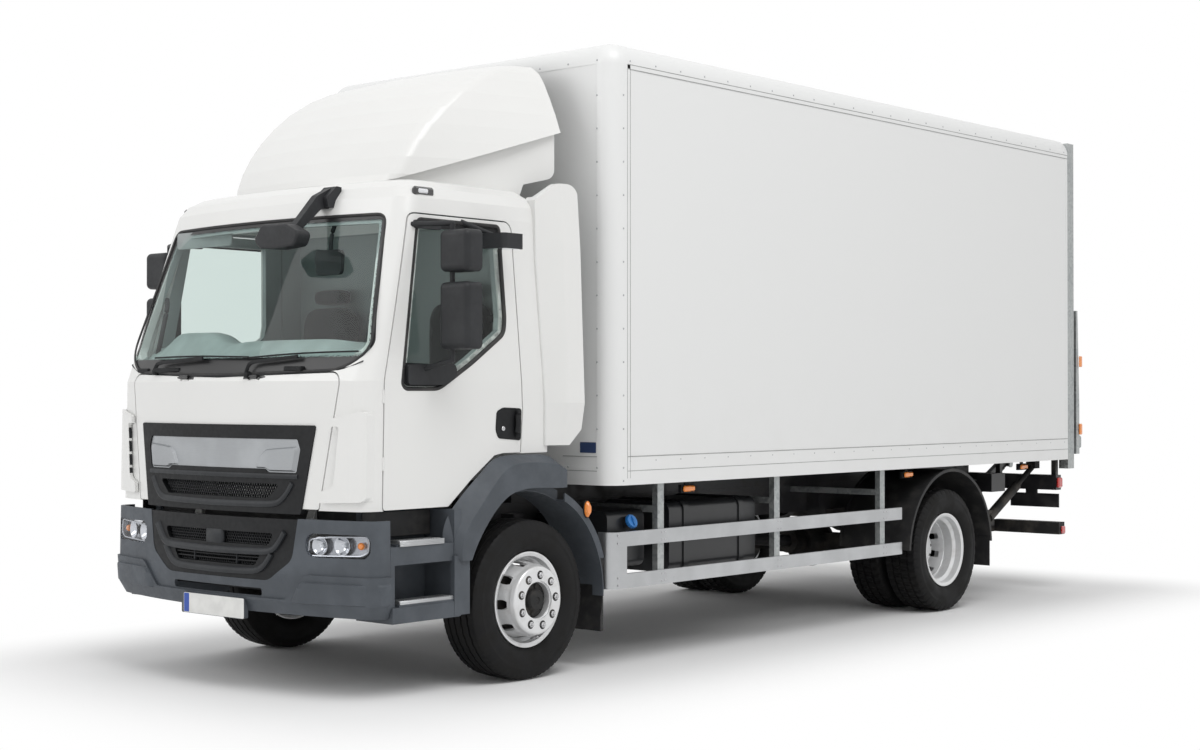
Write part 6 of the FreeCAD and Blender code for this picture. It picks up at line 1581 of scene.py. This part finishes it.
def lay_floor():
    """Pale floor that takes the truck's shadow. From 0.10 to 1.45 m outside the truck's rectangle it fades
    to plain white, where it is seen straight, in a mirror or through glass."""
    look = Look("floor white", (0.93, 0.93, 0.93), roughness=0.9)
    x, y, _ = look.xyz()
    away_x, away_y = ((abs(at) - half).most(0.0) for at, half in zip((x, y), SHADOW_HALF))
    far = (away_x * away_x + away_y * away_y).root().rise(0.10, 1.45)
    rays = look.node("LightPath", output="Is Camera Ray")
    path = rays.socket.node
    for kind in SEEN_TOO:
        rays = rays.most(Wire(look, path.outputs[kind]))
    light = look.node("Emission", None, {"Color": (1, 1, 1, 1), "Strength": 1.0})
    look.show(look.node("MixShader", None, {0: far * rays, 1: look.solid(), 2: light}))
    corners = [(x, y, 0.0) for x, y in rectangle(-FLOOR_HALF, FLOOR_HALF, -FLOOR_HALF, FLOOR_HALF)]
    mesh = bpy.data.meshes.new("floor")
    mesh.from_pydata(corners, [], [(0, 1, 2, 3)])
    mesh.materials.append(look.done())
    floor = bpy.data.objects.new("floor", mesh)
    bpy.context.scene.collection.objects.link(floor)


def spread_sky():
    """Even white sky: full strength where it is seen straight, and SKY_LIGHT as a light on the truck."""
    world = bpy.data.worlds.new("sky")
    world.use_nodes = True
    bpy.context.scene.world = world
    nodes, links = world.node_tree.nodes, world.node_tree.links
    path = nodes.new("ShaderNodeLightPath")
    back = nodes["Background"]
    back.inputs["Color"].default_value = (1, 1, 1, 1)
    strength = nodes.new("ShaderNodeMath")
    strength.operation = "MULTIPLY_ADD"
    strength.inputs[1].default_value = 1.0 - SKY_LIGHT
    strength.inputs[2].default_value = SKY_LIGHT
    seen = path.outputs["Is Camera Ray"]
    for kind in SEEN_TOO:
        either = nodes.new("ShaderNodeMath")
        either.operation = "MAXIMUM"
        links.new(seen, either.inputs[0])
        links.new(path.outputs[kind], either.inputs[1])
        seen = either.outputs[0]
    links.new(seen, strength.inputs[0])
    links.new(strength.outputs[0], back.inputs["Strength"])


def stand(made, spot, gaze):
    """Links an object into the scene at a spot, turned so that it looks along gaze."""
    bpy.context.scene.collection.objects.link(made)
    made.location = spot
    made.rotation_mode = "QUATERNION"
    made.rotation_quaternion = Vector(gaze).to_track_quat("-Z", "Y")


def hang_lamps():
    """Round soft lamps, each aimed at one spot of the truck."""
    for name, spot, aim, power, width in LAMPS:
        data = bpy.data.lights.new(name, "AREA")
        data.energy = power
        data.shape = "DISK"
        data.size = width
        stand(bpy.data.objects.new(name, data), spot, Vector(aim) - Vector(spot))


def camera():
    """Camera at the eye's place, looking back along its yaw and up by its pitch."""
    data = bpy.data.cameras.new("camera")
    data.lens = LENS
    data.sensor_width = 36.0
    data.clip_end = 400.0
    made = bpy.data.objects.new("camera", data)
    stand(made, EYE, (-math.sin(YAW) * math.cos(PITCH), math.cos(YAW) * math.cos(PITCH), math.sin(PITCH)))
    bpy.context.scene.camera = made


lay_floor()
spread_sky()
hang_lamps()
camera()
bpy.context.scene.view_settings.view_transform = "Standard"
